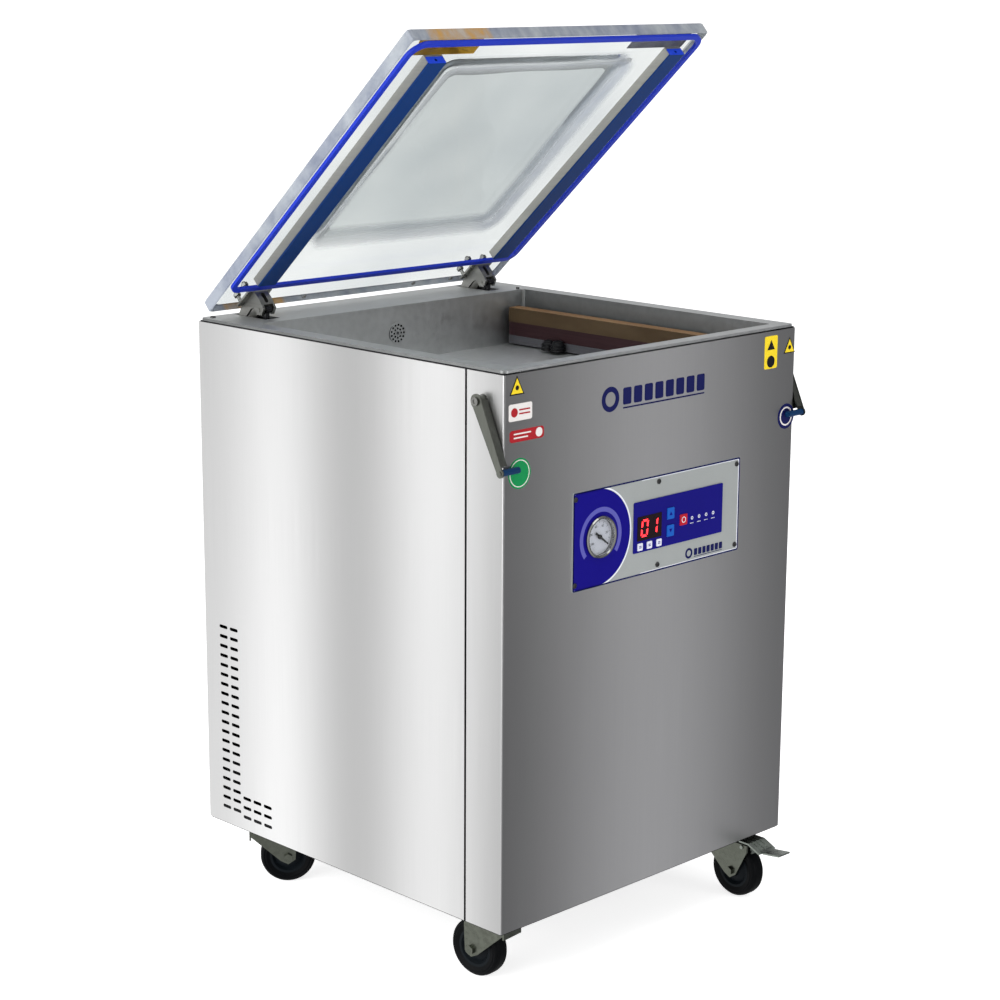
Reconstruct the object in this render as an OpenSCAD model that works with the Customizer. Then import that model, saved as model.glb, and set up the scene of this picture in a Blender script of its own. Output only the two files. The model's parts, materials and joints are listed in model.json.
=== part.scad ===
// Vacuum chamber sealer: a stainless cabinet on swivel casters, a sunk vacuum chamber with
// two seal bars, and a clear lid that stands open on two hinge arms.
// Z = 0 is the floor, X = 0 the middle of the cabinet, and the front looks along -Y.

/* [Cabinet] */
// Width of the cabinet
cab_w = 640; // [636:2:660]
// Depth of the cabinet
cab_d = 678; // [678:2:690]
// Height of the cabinet body above its own underside
cab_h = 828; // [820:4:860]
// Height of the cabinet's underside above the floor
floor_gap = 108; // [108:1:110]
// Thickness of the cabinet's sheet panels
sheet = 1.5; // [1:0.25:2]
// Length of the front panel's folded side returns
return_d = 73; // [70:1:80]
// Width of the seam between a side return and its side panel
seam = 4; // [2:0.5:5]

/* [Chamber] */
// Clear width of the chamber mouth
mouth_w = 576; // [572:1:577]
// Clear depth of the chamber mouth, front to back
mouth_d = 538; // [535:1:538]
// Distance from the cabinet front to the mouth
mouth_front = 25; // [24:1:27]
// Depth of the chamber below its rim
chamber_depth = 90; // [88:1:92]
// Thickness of the rim plate
rim_t = 4; // [3:0.5:4]

/* [Lid] */
// Width of the clear lid
lid_w = 630; // [626:2:634]
// Length of the lid from its hinge edge to its front edge
lid_d = 639; // [637:1:641]
// Thickness of the lid's flat border
lid_t = 20; // [18:1:22]
// Angle at which the open lid stands
lid_open = 42.4; // [38:0.2:46]
// Height of the gasket below the lid
gasket_h = 5; // [4:0.5:5]
// Width of the gasket strip
gasket_w = 9; // [7:0.5:10]
// Height of the lid's bulge above its border
dome_h = 35; // [25:1:45]

/* [Sealing] */
// Distance of each seal bar from the middle
bar_x = 256; // [254:1:258]
// Length of each seal bar
bar_len = 515; // [500:1:520]
// Width of each seal bar
bar_w = 24; // [20:1:26]
// Depth of a lowered seal bar's top below the rim
bar_drop = 26; // [25:1:28]
// Length of each counter bar on the lid
counter_len = 523; // [515:1:525]

/* [Control panel] */
// Width of the control panel
panel_w = 372; // [366:2:380]
// Height of the control panel
panel_h = 147; // [145:1:150]
// Height of the panel's middle above the floor
panel_z = 670; // [660:2:690]
// Sideways place of the panel's middle
panel_x = 5; // [0:0.5:8]
// Diameter of the vacuum gauge's bezel
gauge_d = 63; // [62:1:66]

/* [Casters] */
// Diameter of the caster wheels
wheel_d = 90; // [88:1:91]
// Width of the caster tyres
wheel_w = 28; // [24:1:28]
// Offset of a wheel's axle behind its swivel
trail = 36; // [35:0.5:37]
// Sideways distance of the casters from the middle
caster_x = 258; // [250:1:260]
// Front and back distance of the casters from the cabinet's middle
caster_y = 272; // [270:1:280]

/* [Side arms] */
// Height of the side arms' pivot above the floor
arm_z = 891; // [886:1:892]
// Distance from the arm's pivot to its grip
arm_len = 105.8; // [105:0.2:108]
// Forward lean of the hanging arm
arm_lean = 26.4; // [26.2:0.2:28]

/* [Hidden] */
$fn = 48;
eps = 0.01;

// How far the longest pieces reach in front of and behind the cabinet's middle
front_reach = 405;
rear_reach = 359;
cab_y = (front_reach - rear_reach) / 2;
yf = -cab_d / 2;
yb = cab_d / 2;
zb = floor_gap;
zt = floor_gap + cab_h;
in_x = cab_w / 2 - sheet;
in_y = cab_d / 2 - sheet;
frame_play = 0.5;
panel_bottom = zb + 2;
panel_top = zt - rim_t - 2;

mouth_x = mouth_w / 2;
mouth_y0 = yf + mouth_front;
mouth_y1 = mouth_y0 + mouth_d;
mouth_r = 5;
wall = 3;
tub_floor = zt - chamber_depth;

// Lid hinge axis, behind the chamber and just under the deck plate
pivot_y = yb - 22.5;
pivot_z = zt - 12;
shaft_r = 6;
run_gap = 0.06;
hinge_x = 243;
hinge_half = 13;
cheek_t = 4;
lid_gap = gasket_h + 0.3;
lid_z = zt + lid_gap;
lid_y1 = pivot_y - 12;
lid_y0 = lid_y1 - lid_d;
gasket_x = 307;
gasket_back = 60;
gasket_front = 632;
dome_x = 190;
dome_back = 145;
dome_front = 580;
dome_wall = 8;

counter_h = 14;
counter_w = 36;
counter_wall = 3.5;
silicone_lip = 2;
counter_back = 83;

bar_y1 = mouth_y1 - 9;
bar_top = zt - bar_drop;
bar_base = tub_floor + 3;
bar_alu_h = 14;
tape_t = 1;
tape_h = 24;
rod_r = 6;
rod_y = [-215, 117];

// Cross pin of a hinge arm, from the hinge axis: closed, then with the lid at its open angle
pin_closed = [-52, -14];
pin_z = -pin_closed[0] * sin(lid_open) + pin_closed[1] * cos(lid_open);
strut_y = pivot_y - 50.65;
rod_thick = 5;
rail_z = pivot_z - 39;

face_y = yf - 2;
key_t = 1.2;
key_y = face_y - key_t;
key_x = [-52, 150];
key_z = [632, 709];
gauge_x = -122.4;
window_at = [-17.5, 668];
window_size = [54, 37];
press_gap = 0.3;

arm_y = yf + 40;
arm_x = cab_w / 2;
caster_turn = [6, 178.5, 231, 168];
axle_r = 4;

module at_cab() { translate([0, cab_y, 0]) children(); }
module rrect(w, d, r) {
  square([w - 2 * r, d], center = true);
  square([w, d - 2 * r], center = true);
  for (sx = [-1, 1], sy = [-1, 1]) translate([sx * (w / 2 - r), sy * (d / 2 - r)]) circle(r);
}
// A flat slot with round ends, along the first axis
module slot2d(l, h) {
  square([l - h, h], center = true);
  for (s = [-1, 1]) translate([s * (l - h) / 2, 0]) circle(h / 2);
}
// Solid between two corners
module block(a, b) { translate(a) cube(b - a); }
module rod_x(x0, x1, r) { translate([x0, 0, 0]) rotate([0, 90, 0]) cylinder(r = r, h = x1 - x0); }
module rod_y(y0, y1, r) { translate([0, y1, 0]) rotate([90, 0, 0]) cylinder(r = r, h = y1 - y0); }
// Extrudes an outline drawn in Y and Z along X
module along_x(x0, x1) {
  translate([x0, 0, 0]) rotate([90, 0, 90]) linear_extrude(x1 - x0) children();
}
// Extrudes an outline drawn in X and Z along Y
module along_y(y0, y1) { translate([0, y1, 0]) rotate([90, 0, 0]) linear_extrude(y1 - y0) children(); }

// ---- cabinet ----
module angle_post(sx, sy) {
  x = in_x - frame_play;
  y = in_y - frame_play;
  mirror([sx > 0 ? 0 : 1, 0, 0]) mirror([0, sy > 0 ? 0 : 1, 0]) {
    block([x - 30, y - 3, zb + 1], [x, y, zt - rim_t]);
    block([x - 3, y - 30, zb + 1], [x, y, zt - rim_t]);
  }
}
module frame() {
  x = in_x - frame_play;
  y = in_y - frame_play;
  color("#8d9296") at_cab() difference() {
    union() {
      block([-x, -y, zb], [x, y, zb + 2]);
      for (s = [-1, 1]) {
        block([min(s * x, s * (x - 3)), -y, zb], [max(s * x, s * (x - 3)), y, zb + 30]);
        block([-x, min(s * y, s * (y - 3)), zb], [x, max(s * y, s * (y - 3)), zb + 30]);
        block([min(s * x, s * (x - 3)), -y, zt - rim_t - 30], [max(s * x, s * (x - 3)), y, zt - rim_t]);
        for (t = [-1, 1]) angle_post(s, t);
      }
      block([-x, y - 3, rail_z - 30], [x, y, rail_z]);
      block([-x, y - 30, rail_z - 3], [x, y, rail_z]);
      for (s = [-1, 1])
        block([s * hinge_x - 20, strut_y - 18, rail_z - 30], [s * hinge_x + 20, y, rail_z - 24]);
    }
    for (s = [-1, 1]) translate([s * hinge_x, strut_y, rail_z - 40]) cylinder(r = 10.2, h = 30);
    for (i = [0:5]) translate([-200 + 80 * i, 250, zb - 1]) linear_extrude(4) slot2d(60, 10);
    for (sx = [-1, 1], sy = [-1, 1]) translate([sx * caster_x, sy * caster_y, zb - 1])
      cylinder(r = 9, h = 4);
  }
}
module u_profile() {
  difference() {
    translate([0, yf + 50]) rrect(cab_w, 100, 2.5);
    translate([0, yf + sheet + 60]) rrect(2 * in_x, 120, 1);
    translate([-cab_w, yf + return_d]) square([2 * cab_w, 100]);
  }
}
module front_panel() {
  color("#9a9a9a") at_cab() difference() {
    translate([0, 0, panel_bottom]) linear_extrude(panel_top - panel_bottom) u_profile();
    translate([gauge_x, 0, panel_z]) rod_y(yf - 5, yf + 5, gauge_d / 2 - 1.5);
    block([-82, yf - 5, panel_z - 55], [174, yf + 5, panel_z + 55]);
    for (p = panel_screw_places()) translate([p[0], 0, p[1]]) rod_y(yf - 5, yf + 5, 2.2);
    translate([0, arm_y, arm_z]) rod_x(-cab_w, cab_w, 5);
  }
}
function panel_screw_places() =
  [for (i = [0:2], s = [-1, 1])
    [panel_x - 2 + (i - 1) * (panel_w / 2 - 6.5), panel_z + s * (panel_h / 2 - 10)]];
// Side panel for the right; the left one is its mirror image
module side_panel() {
  rows = 20;
  pitch = 16;
  difference() {
    along_x(in_x, cab_w / 2) difference() {
      translate([yf + return_d + seam, panel_bottom])
        square([yb - sheet - (yf + return_d + seam), panel_top - panel_bottom]);
      for (r = [0:rows - 1], c = [0:1]) translate([yb - 46 - 26 * c, zb + 30 + r * pitch]) slot2d(20, 5.4);
      for (r = [0:2], c = [2:4]) translate([yb - 46 - 26 * c, zb + 24 + r * pitch]) slot2d(20, 5.4);
    }
  }
}
module side_panel_left() { color("#dcdcda") at_cab() mirror([1, 0, 0]) side_panel(); }
module side_panel_right() { color("#dcdcda") at_cab() side_panel(); }
gland_x = -230;
gland_z = 190;
module rear_panel() {
  color("#c9c9c7") at_cab() along_y(in_y, yb) difference() {
    translate([-cab_w / 2, panel_bottom]) square([cab_w, panel_top - panel_bottom]);
    for (r = [0:9], c = [0:4]) translate([60 + 34 * c, zb + 60 + 18 * r]) slot2d(26, 5);
    translate([gland_x, gland_z]) circle(8.2);
    translate([0, 560]) for (r = [0:5], c = [0:3]) translate([-60 + 40 * c, 18 * r]) slot2d(26, 5);
  }
}
module cable_gland() {
  color("#222426") at_cab() translate([gland_x, 0, gland_z]) difference() {
    union() {
      rod_y(in_y - 10, yb, 8);
      rod_y(in_y - 6, in_y, 12);
      translate([0, yb + 4, 0]) rotate([90, 0, 0]) cylinder(r = 13, h = 4, $fn = 6);
      rod_y(yb + 4, rear_reach, 10);
    }
    rod_y(in_y - 20, rear_reach + 5, 4.5);
  }
}

// ---- chamber ----
module hinge_slot2d() {
  y0 = pivot_y - 67;
  y1 = pivot_y + 14;
  for (s = [-1, 1]) translate([s * hinge_x, (y0 + y1) / 2]) square([29, y1 - y0], center = true);
}
module chamber_tub() {
  my = (mouth_y0 + mouth_y1) / 2;
  color("#8b8f90") at_cab() difference() {
    union() {
      translate([0, 0, zt - rim_t]) linear_extrude(rim_t) difference() {
        rrect(cab_w - 4, cab_d - 4, 8);
        hinge_slot2d();
      }
      translate([0, my, tub_floor - wall]) linear_extrude(chamber_depth - rim_t + wall + eps)
        rrect(mouth_w + 2 * wall, mouth_d + 2 * wall, mouth_r + wall);
    }
    translate([0, my, tub_floor]) linear_extrude(chamber_depth + 5) rrect(mouth_w, mouth_d, mouth_r);
    for (s = [-1, 1], y = rod_y) translate([s * bar_x, y, tub_floor - 10]) cylinder(r = 9, h = 20);
    translate([-5, 0, tub_floor + 45]) rod_y(mouth_y1 - 5, mouth_y1 + 10, 12);
  }
}
module suction_grille() {
  color("#3f4446") at_cab() translate([-5, mouth_y1, tub_floor + 45]) difference() {
    union() {
      rod_y(-2, 0, 17);
      rod_y(0, wall, 11.9);
    }
    rod_y(-5, wall + 5, 3);
    for (i = [0:7]) rotate([0, 45 * i, 0]) translate([7.6, 0, 0]) rod_y(-5, wall + 5, 1.9);
    for (i = [0:12]) rotate([0, 360 / 13 * i, 0]) translate([13.6, 0, 0]) rod_y(-5, -0.6, 2);
  }
}
// Panel screws, rim pin and deck screws
module pan_screw(r, h) {
  rotate_extrude() polygon([[0, 0], [r, 0], [r, h * 0.45], [r * 0.72, h * 0.9], [0, h]]);
}
module screws() {
  color("#c8c8c8") at_cab() {
    for (p = panel_screw_places()) translate([p[0], face_y, p[1]]) rotate([90, 0, 0]) {
      difference() {
        union() {
          pan_screw(4, 2.4);
          translate([0, 0, -8]) cylinder(r = 2, h = 8);
        }
        translate([-3, -0.5, 1.2]) cube([6, 1, 3]);
      }
    }
    translate([mouth_x - 6, mouth_y1 + 8, zt]) cylinder(r = 3, h = 3);
    for (s = [-1, 1]) translate([s * (cab_w / 2 - 16), yb - 16, zt]) pan_screw(4.5, 2.6);
  }
}
module hinge_shaft() {
  color("#b5b7b8") at_cab() translate([0, pivot_y, pivot_z]) {
    rod_x(-284, 284, shaft_r);
    for (s = [-1, 1]) translate([s * 282, 0, 0]) rod_x(-1, 1, shaft_r + 1.5);
  }
}
module hinge_bearings() {
  color("#6d7275") at_cab() for (s = [-1, 1], d = [-24, 27]) translate([s * (hinge_x + d), pivot_y, 0])
    difference() {
      block([-8, -13, rail_z], [8, 13, zt - rim_t]);
      translate([0, 0, pivot_z]) rod_x(-20, 20, shaft_r);
    }
}
// Gas struts that hold the lid open: their rods push up on the cross pins of the hinge arms
module strut_cylinders() {
  color("#2a2c2e") at_cab() for (s = [-1, 1]) translate([s * hinge_x, strut_y, 0]) difference() {
    union() {
      translate([0, 0, pivot_z - 280]) cylinder(r = 10, h = 222);
      translate([0, 0, rail_z - 30 - 4]) cylinder(r = 13, h = 4);
    }
    translate([0, 0, pivot_z - 270]) cylinder(r = rod_thick + run_gap, h = 300);
  }
}
// The rod eyes are slotted, so the cross pins can move a little sideways as the arms turn
module strut_rods() {
  color("#1c1d1f") at_cab() for (s = [-1, 1]) translate([s * hinge_x, strut_y, pivot_z + pin_z]) {
    translate([0, 0, -180]) cylinder(r = rod_thick, h = 176);
    along_x(-5.5, 5.5) difference() {
      rrect(15.4, 10.4, 4.6);
      slot2d(13, 7.4);
    }
  }
}

// ---- control panel ----
function button_places() = [
  ["up", 29.5, 681, 15.6, 17.4], ["down", 29.5, 654.5, 15.6, 17.4], ["stop", 59, 666.5, 16.6, 16.7],
  ["a", -38, 640.5, 11, 11], ["b", -17.3, 640.5, 11, 11], ["c", 4, 640.5, 11, 11]];
module button_holes() {
  for (b = button_places()) translate([b[1], b[2]])
    rrect(b[3] + 2 * press_gap, b[4] + 2 * press_gap, 1.5 + press_gap);
}
module control_panel() {
  color("#a5aaa5") at_cab() along_y(face_y, yf) difference() {
    translate([panel_x, panel_z]) rrect(panel_w, panel_h, 3);
    translate([gauge_x, panel_z]) circle(gauge_d / 2 - 1.5);
    for (p = panel_screw_places()) translate(p) circle(2.2);
    button_holes();
  }
}
module keypad() {
  w = key_x[1] - key_x[0];
  h = key_z[1] - key_z[0];
  color("#1c1484") at_cab() along_y(key_y, face_y) difference() {
    translate([key_x[0] + w / 2, key_z[0] + h / 2]) rrect(w, h, 2);
    translate(window_at) rrect(window_size[0], window_size[1], 1.5);
    button_holes();
  }
}
module display_window() {
  color("#141012") at_cab() along_y(key_y - 0.5, face_y) translate(window_at)
    rrect(window_size[0], window_size[1], 1.5);
}
module button(i, tint) {
  b = button_places()[i];
  color(tint) at_cab() translate([b[1], 0, b[2]]) {
    along_y(key_y - 1, yf + 0.4) rrect(b[3], b[4], 1.5);
    along_y(yf + 0.4, yf + 2) rrect(b[3] + 3, b[4] + 3, 2);
    rod_y(yf + 2, yf + 5, 2);
  }
}
module button_up() { button(0, "#1468c8"); }
module button_down() { button(1, "#1468c8"); }
module button_stop() { button(2, "#c01820"); }
module button_a() { button(3, "#e8e8ec"); }
module button_b() { button(4, "#e8e8ec"); }
module button_c() { button(5, "#e8e8ec"); }
module gauge_case() {
  r = gauge_d / 2;
  color("#d8d8d8") at_cab() translate([gauge_x, face_y, panel_z]) rotate([90, 0, 0]) rotate_extrude()
    polygon([[0, -40], [8, -40], [8, -32], [r - 2, -30], [r - 2, 0], [r, 0], [r, 2.5], [r - 1.5, 4.5],
      [r - 3.2, 4.5], [r - 4.5, 3], [r - 4.5, -5], [4, -5], [4, -8], [0, -8]]);
}
module gauge_dial() {
  r = gauge_d / 2 - 4.6;
  color("#f2f2f0") at_cab() translate([gauge_x, face_y, panel_z]) rotate([90, 0, 0]) difference() {
    translate([0, 0, -5]) cylinder(r = r, h = 1);
    translate([0, 0, -8]) cylinder(r = 2.5, h = 9);
  }
}
module gauge_glass() {
  r = gauge_d / 2 - 4.6;
  color("#e8f2f6", 0.3) at_cab() translate([gauge_x, face_y, panel_z]) rotate([90, 0, 0])
    translate([0, 0, 1.2]) cylinder(r = r, h = 1.5);
}
// The needle rests pointing down and to the right, at the scale's low end
needle_tilt = 37;
module gauge_needle() {
  color("#16181a") at_cab() translate([gauge_x, face_y, panel_z]) rotate([90, 0, 0]) {
    translate([0, 0, -6]) cylinder(r = 1.6, h = 7);
    translate([0, 0, -2.6]) cylinder(r = 3.4, h = 2.4);
    rotate([0, 0, -needle_tilt]) translate([0, 0, -2]) linear_extrude(1)
      polygon([[-11, -1.6], [0, -1.8], [21, -0.7], [22.5, 0], [21, 0.7], [0, 1.8], [-11, 1.6]]);
  }
}

// ---- machinery inside the cabinet ----
module lift_cylinders() {
  color("#9fa4a8") at_cab() for (s = [-1, 1], y = rod_y) translate([s * bar_x, y, 0]) difference() {
    union() {
      translate([0, 0, tub_floor - wall - 50]) cylinder(r = 24, h = 50);
      translate([0, 0, tub_floor - wall]) cylinder(r = 8.8, h = wall + 0.5);
    }
    translate([0, 0, tub_floor - 46]) cylinder(r = rod_r + run_gap, h = 60);
  }
}
module vacuum_pump() {
  z = zb + 2;
  color("#47525b") at_cab() {
    for (x = [-190, 20], y = [-150, 20]) translate([x, y, z]) cylinder(r = 14, h = 24);
    block([-220, -170, z + 24], [50, 40, z + 34]);
    block([-215, -160, z + 34], [-75, 30, z + 214]);
    translate([0, -65, z + 124]) {
      rod_x(-75, -55, 60);
      rod_x(-55, 120, 78);
      for (x = [-40:14:100]) rod_x(x, x + 4, 84);
    }
    block([-30, -95, z + 196], [50, -35, z + 232]);
    translate([-145, 30, z + 120]) rod_y(-5, 60, 45);
    translate([-145, -65, z + 214]) cylinder(r = 16, h = 40);
  }
}
// Suction hose: pump inlet, up, a bend, back, and up to the chamber's port
module vacuum_hose() {
  r = 14;
  z0 = zb + 2 + 254;
  bend = 60;
  zc = tub_floor - 90;
  color("#1d1f21") at_cab() translate([-145, -65, 0]) {
    translate([0, 0, z0]) cylinder(r = r, h = zc - bend - z0);
    translate([0, bend, zc - bend]) rotate([0, -90, 0]) rotate([0, 0, -90])
      rotate_extrude(angle = 90) translate([bend, 0]) circle(r);
    translate([0, 0, zc]) rod_y(bend, 250, r);
  }
}
// Vacuum valve, vent valve and the riser to the chamber's suction port
module valve_block() {
  z = tub_floor - 90;
  port_z = tub_floor + 45;
  riser_y = mouth_y1 + 33;
  color("#b0b4b6") at_cab() {
    block([-175, 185, z - 30], [-115, 235, z + 30]);
    translate([-145, 0, z]) rod_y(235, 285, 15);
    block([-115, 225, z - 12], [20, 256, z + 12]);
    for (x = [-90, -45]) translate([x, 240, z + 12]) cylinder(r = 14, h = 45);
    translate([-5, riser_y, z]) cylinder(r = 11, h = port_z - z);
    translate([-5, riser_y, port_z]) sphere(r = 11);
    translate([-5, 0, port_z]) rod_y(mouth_y1 + wall, riser_y, 11);
  }
}
module control_box() {
  color("#c9c7bd") at_cab() {
    block([150, 60, zb + 2], [290, 300, zb + 180]);
    block([-70, yf + 12, panel_z - 50], [170, yf + 50, panel_z + 50]);
  }
}

// ---- side arms ----
module arm_bosses() {
  color("#b9bcbe") at_cab() for (s = [0, 1]) mirror([s, 0, 0]) translate([0, arm_y, arm_z]) {
    rod_x(in_x - 6, arm_x + 17, 4.9);
    rod_x(arm_x, arm_x + 1.2, 9);
    difference() {
      rod_x(arm_x + 15.3, arm_x + 18, 6.2);
      rod_x(arm_x + 16.5, arm_x + 20, 3);
    }
    rod_x(in_x - 6, in_x - 1, 7.5);
  }
}
// A channel-shaped arm that hangs beside the cabinet; its grip crosses in front of the front panel
module arm() {
  x0 = arm_x + 1.5;
  x1 = arm_x + 15;
  face = 2.5;
  flange_end = 8 - arm_len;
  translate([0, arm_y, arm_z]) difference() {
    union() {
      rod_x(x1 - face, x1, 10.5);
      rod_x(x0, x1 - 1, 7.4);
      rotate([-arm_lean, 0, 0]) {
        along_x(x1 - face, x1) polygon([[-9.5, -1], [9.5, -1], [5.5, -arm_len], [-5.5, -arm_len]]);
        translate([0, 0, -arm_len]) rod_x(x1 - face, x1, 6.5);
        translate([0, 0, -arm_len]) rod_x(x1 - 1, x1 + 1.2, 3.6);
        for (t = [-1, 1]) along_x(x0, x1 - 1)
          polygon([[t * 9, -2], [t * 6.6, -2], [t * 2.9, flange_end], [t * 5.2, flange_end]]);
      }
    }
    rod_x(x0 - 5, x1 + 5, 4.9 + run_gap);
  }
}
module arm_grip() {
  translate([0, arm_y, arm_z]) rotate([-arm_lean, 0, 0]) translate([0, 0, -arm_len]) {
    rod_x(cab_w / 2 - 22, arm_x + 12.5, 4.75);
  }
}
module arm_left() { color("#9da0a2") at_cab() mirror([1, 0, 0]) arm(); }
module arm_right() { color("#9da0a2") at_cab() arm(); }
module arm_grip_left() { color("#1450a0") at_cab() mirror([1, 0, 0]) arm_grip(); }
module arm_grip_right() { color("#1450a0") at_cab() arm_grip(); }

// ---- lid, drawn closed and turned open about the hinge axis ----
module at_lid() {
  translate([0, cab_y + pivot_y, pivot_z]) rotate([-lid_open, 0, 0])
    translate([0, -pivot_y, -pivot_z]) children();
}
// A flat pad that the bulge's shell is stretched over, then four round shoulders
module dome_shell(grow, top) {
  y0 = lid_y1 - dome_front;
  y1 = lid_y1 - dome_back;
  r = 26;
  hull() {
    translate([0, (y0 + y1) / 2, lid_z]) linear_extrude(lid_t - 4)
      rrect(2 * (dome_x + grow), y1 - y0 + 2 * grow, 40 + grow);
    for (x = [-1, 1], y = [y0, y1]) translate([x * (dome_x - 55), y + (y == y0 ? 55 : -55), lid_z + top - r])
      sphere(r = r, $fn = 32);
  }
}
module lid() {
  color("#dfe9ee", 0.35) at_lid() difference() {
    union() {
      translate([0, (lid_y0 + lid_y1) / 2, lid_z]) linear_extrude(lid_t) rrect(lid_w, lid_d, 4);
      dome_shell(0, lid_t + dome_h);
    }
    translate([0, 0, -eps]) dome_shell(-dome_wall, lid_t + dome_h - dome_wall);
    for (p = hinge_screw_places()) translate([p[0], p[1], lid_z - 1]) cylinder(r = 3.1, h = lid_t + 2);
  }
}
// Outline with tight corners toward the hinges and wide ones toward the front
module gasket_outline(grow) {
  w = 2 * gasket_x + 2 * grow;
  y0 = lid_y1 - gasket_front - grow;
  y1 = lid_y1 - gasket_back + grow;
  split = (y0 + y1) / 2;
  translate([0, (y1 + split) / 2]) rrect(w, y1 - split, 15 + grow);
  translate([0, (y0 + split) / 2]) rrect(w, split - y0, 25.5 + grow);
  translate([-w / 2, split - 60]) square([w, 120]);
}
module lid_gasket() {
  color("#1a35b5") at_lid() translate([0, 0, lid_z - gasket_h]) linear_extrude(gasket_h) difference() {
    gasket_outline(gasket_w / 2);
    gasket_outline(-gasket_w / 2);
  }
}
module counter_bars() {
  x = counter_w / 2;
  color("#a8a8a0") at_lid() for (s = [-1, 1]) translate([s * bar_x, lid_y1 - counter_back, lid_z])
    difference() {
      block([-x, -counter_len, -counter_h], [x, 0, 0]);
      block([counter_wall - x, -counter_len - 1, -counter_h - 1], [x - counter_wall, 1, -counter_wall]);
    }
}
// Fills the channel and covers its two edges with a lip
module counter_silicone() {
  x = counter_w / 2 - counter_wall;
  lip = counter_w / 2 - 0.6;
  low = -counter_h - silicone_lip;
  color("#1a3563") at_lid() for (s = [-1, 1]) translate([s * bar_x, lid_y1 - counter_back, lid_z])
    rotate([90, 0, 0]) linear_extrude(counter_len) difference() {
      polygon([[-x, -counter_wall], [-x, -counter_h], [-lip, -counter_h], [-lip, low + 0.6], [0.6 - lip, low],
        [lip - 0.6, low], [lip, low + 0.6], [lip, -counter_h], [x, -counter_h], [x, -counter_wall]]);
      translate([0, low + 6]) circle(2);
    }
}
// Gooseneck arm: from the shaft up through its deck slot to the lid's inner face
arm_root = 24.6;
arm_tip = 62.6;
function hinge_screw_places() =
  [for (s = [-1, 1], x = [-18, 18], y = [-arm_root - 6, -arm_tip + 6]) [s * hinge_x + x, pivot_y + y]];
module hinge_arms() {
  top = lid_z - pivot_z;
  outline = [[-arm_root, top], [-arm_tip, top], [-arm_tip - 1.5, -3], [-arm_tip, -19.5],
    [-51.7, -24.2], [-43.6, -16.8], [-44.4, -4], [-36.5, -0.8], [-20.3, -2.3], [-6, -9.5], [8, 5]];
  color("#8e9194") at_lid() for (s = [-1, 1]) translate([s * hinge_x, pivot_y, pivot_z]) difference() {
    union() {
      for (t = [-1, 1]) {
        x = t * (hinge_half - cheek_t / 2);
        along_x(x - cheek_t / 2, x + cheek_t / 2) polygon(outline);
        along_x(x - cheek_t / 2, x + cheek_t / 2) circle(11.5);
      }
      along_x(-hinge_half, hinge_half) polygon([[-arm_tip, top], [-arm_tip - 1.5, -3], [-arm_tip, -12],
        [-arm_tip + 3, -12], [-arm_tip + 1.5, -3], [-arm_tip + 3, top]]);
      block([-24, -arm_tip, top - 3], [24, -arm_root, top]);
      rod_x(-hinge_half, hinge_half, 9.5);
      translate([0, pin_closed[0], pin_closed[1]]) rod_x(-hinge_half - 1, hinge_half + 1, 3);
    }
    rod_x(-40, 40, shaft_r + run_gap);
    translate([0, -arm_tip, 0.5]) rotate([90, 0, 0]) translate([0, 0, -6]) linear_extrude(16)
      rotate(90) slot2d(19, 7);
    translate([-s * hinge_x, -pivot_y, -pivot_z]) for (p = hinge_screw_places())
      translate([p[0], p[1], lid_z - 5]) {
        cylinder(r = 3.1, h = 10);
        translate([0, 0, 2]) cylinder(r1 = 5.4, r2 = 3.1, h = 2.3);
      }
  }
}
// Countersunk screws through the hinge flanges with cap nuts outside, and three stop screws
module lid_screws() {
  color("#cfd0d0") at_lid() {
    for (p = hinge_screw_places()) translate([p[0], p[1], lid_z]) {
      translate([0, 0, -3]) cylinder(r = 3, h = lid_t + 3);
      translate([0, 0, -3]) cylinder(r1 = 5.2, r2 = 3, h = 2.2);
      translate([0, 0, lid_t]) cylinder(r = 6, h = 5, $fn = 6);
      translate([0, 0, lid_t + 5]) sphere(r = 4);
    }
    for (x = [-130, 110, 196]) translate([x, lid_y1 - 14, lid_z]) mirror([0, 0, 1]) pan_screw(4, 2.4);
  }
}

// ---- seal bars ----
module seal_bar(s) {
  y0 = bar_y1 - bar_len;
  color("#77767c") at_cab() {
    block([s * bar_x - bar_w / 2, y0, bar_base], [s * bar_x + bar_w / 2, bar_y1, bar_base + bar_alu_h]);
    block([s * bar_x - bar_w / 2 + tape_t, y0, bar_base + bar_alu_h],
      [s * bar_x + bar_w / 2 - tape_t, bar_y1, bar_top - tape_t]);
    for (y = rod_y) translate([s * bar_x, y, bar_base - 45]) cylinder(r = rod_r, h = 45 + eps);
  }
}
module seal_tape(s) {
  w = bar_w / 2;
  color("#a07850") at_cab() along_y(bar_y1 - bar_len, bar_y1) translate([s * bar_x, bar_top]) difference() {
    translate([-w, -tape_h]) square([2 * w, tape_h]);
    translate([-w + tape_t, -tape_h - 1]) square([2 * w - 2 * tape_t, tape_h - tape_t + 1]);
  }
}
module seal_bar_left() { seal_bar(-1); }
module seal_bar_right() { seal_bar(1); }
module seal_tape_left() { seal_tape(-1); }
module seal_tape_right() { seal_tape(1); }

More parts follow.
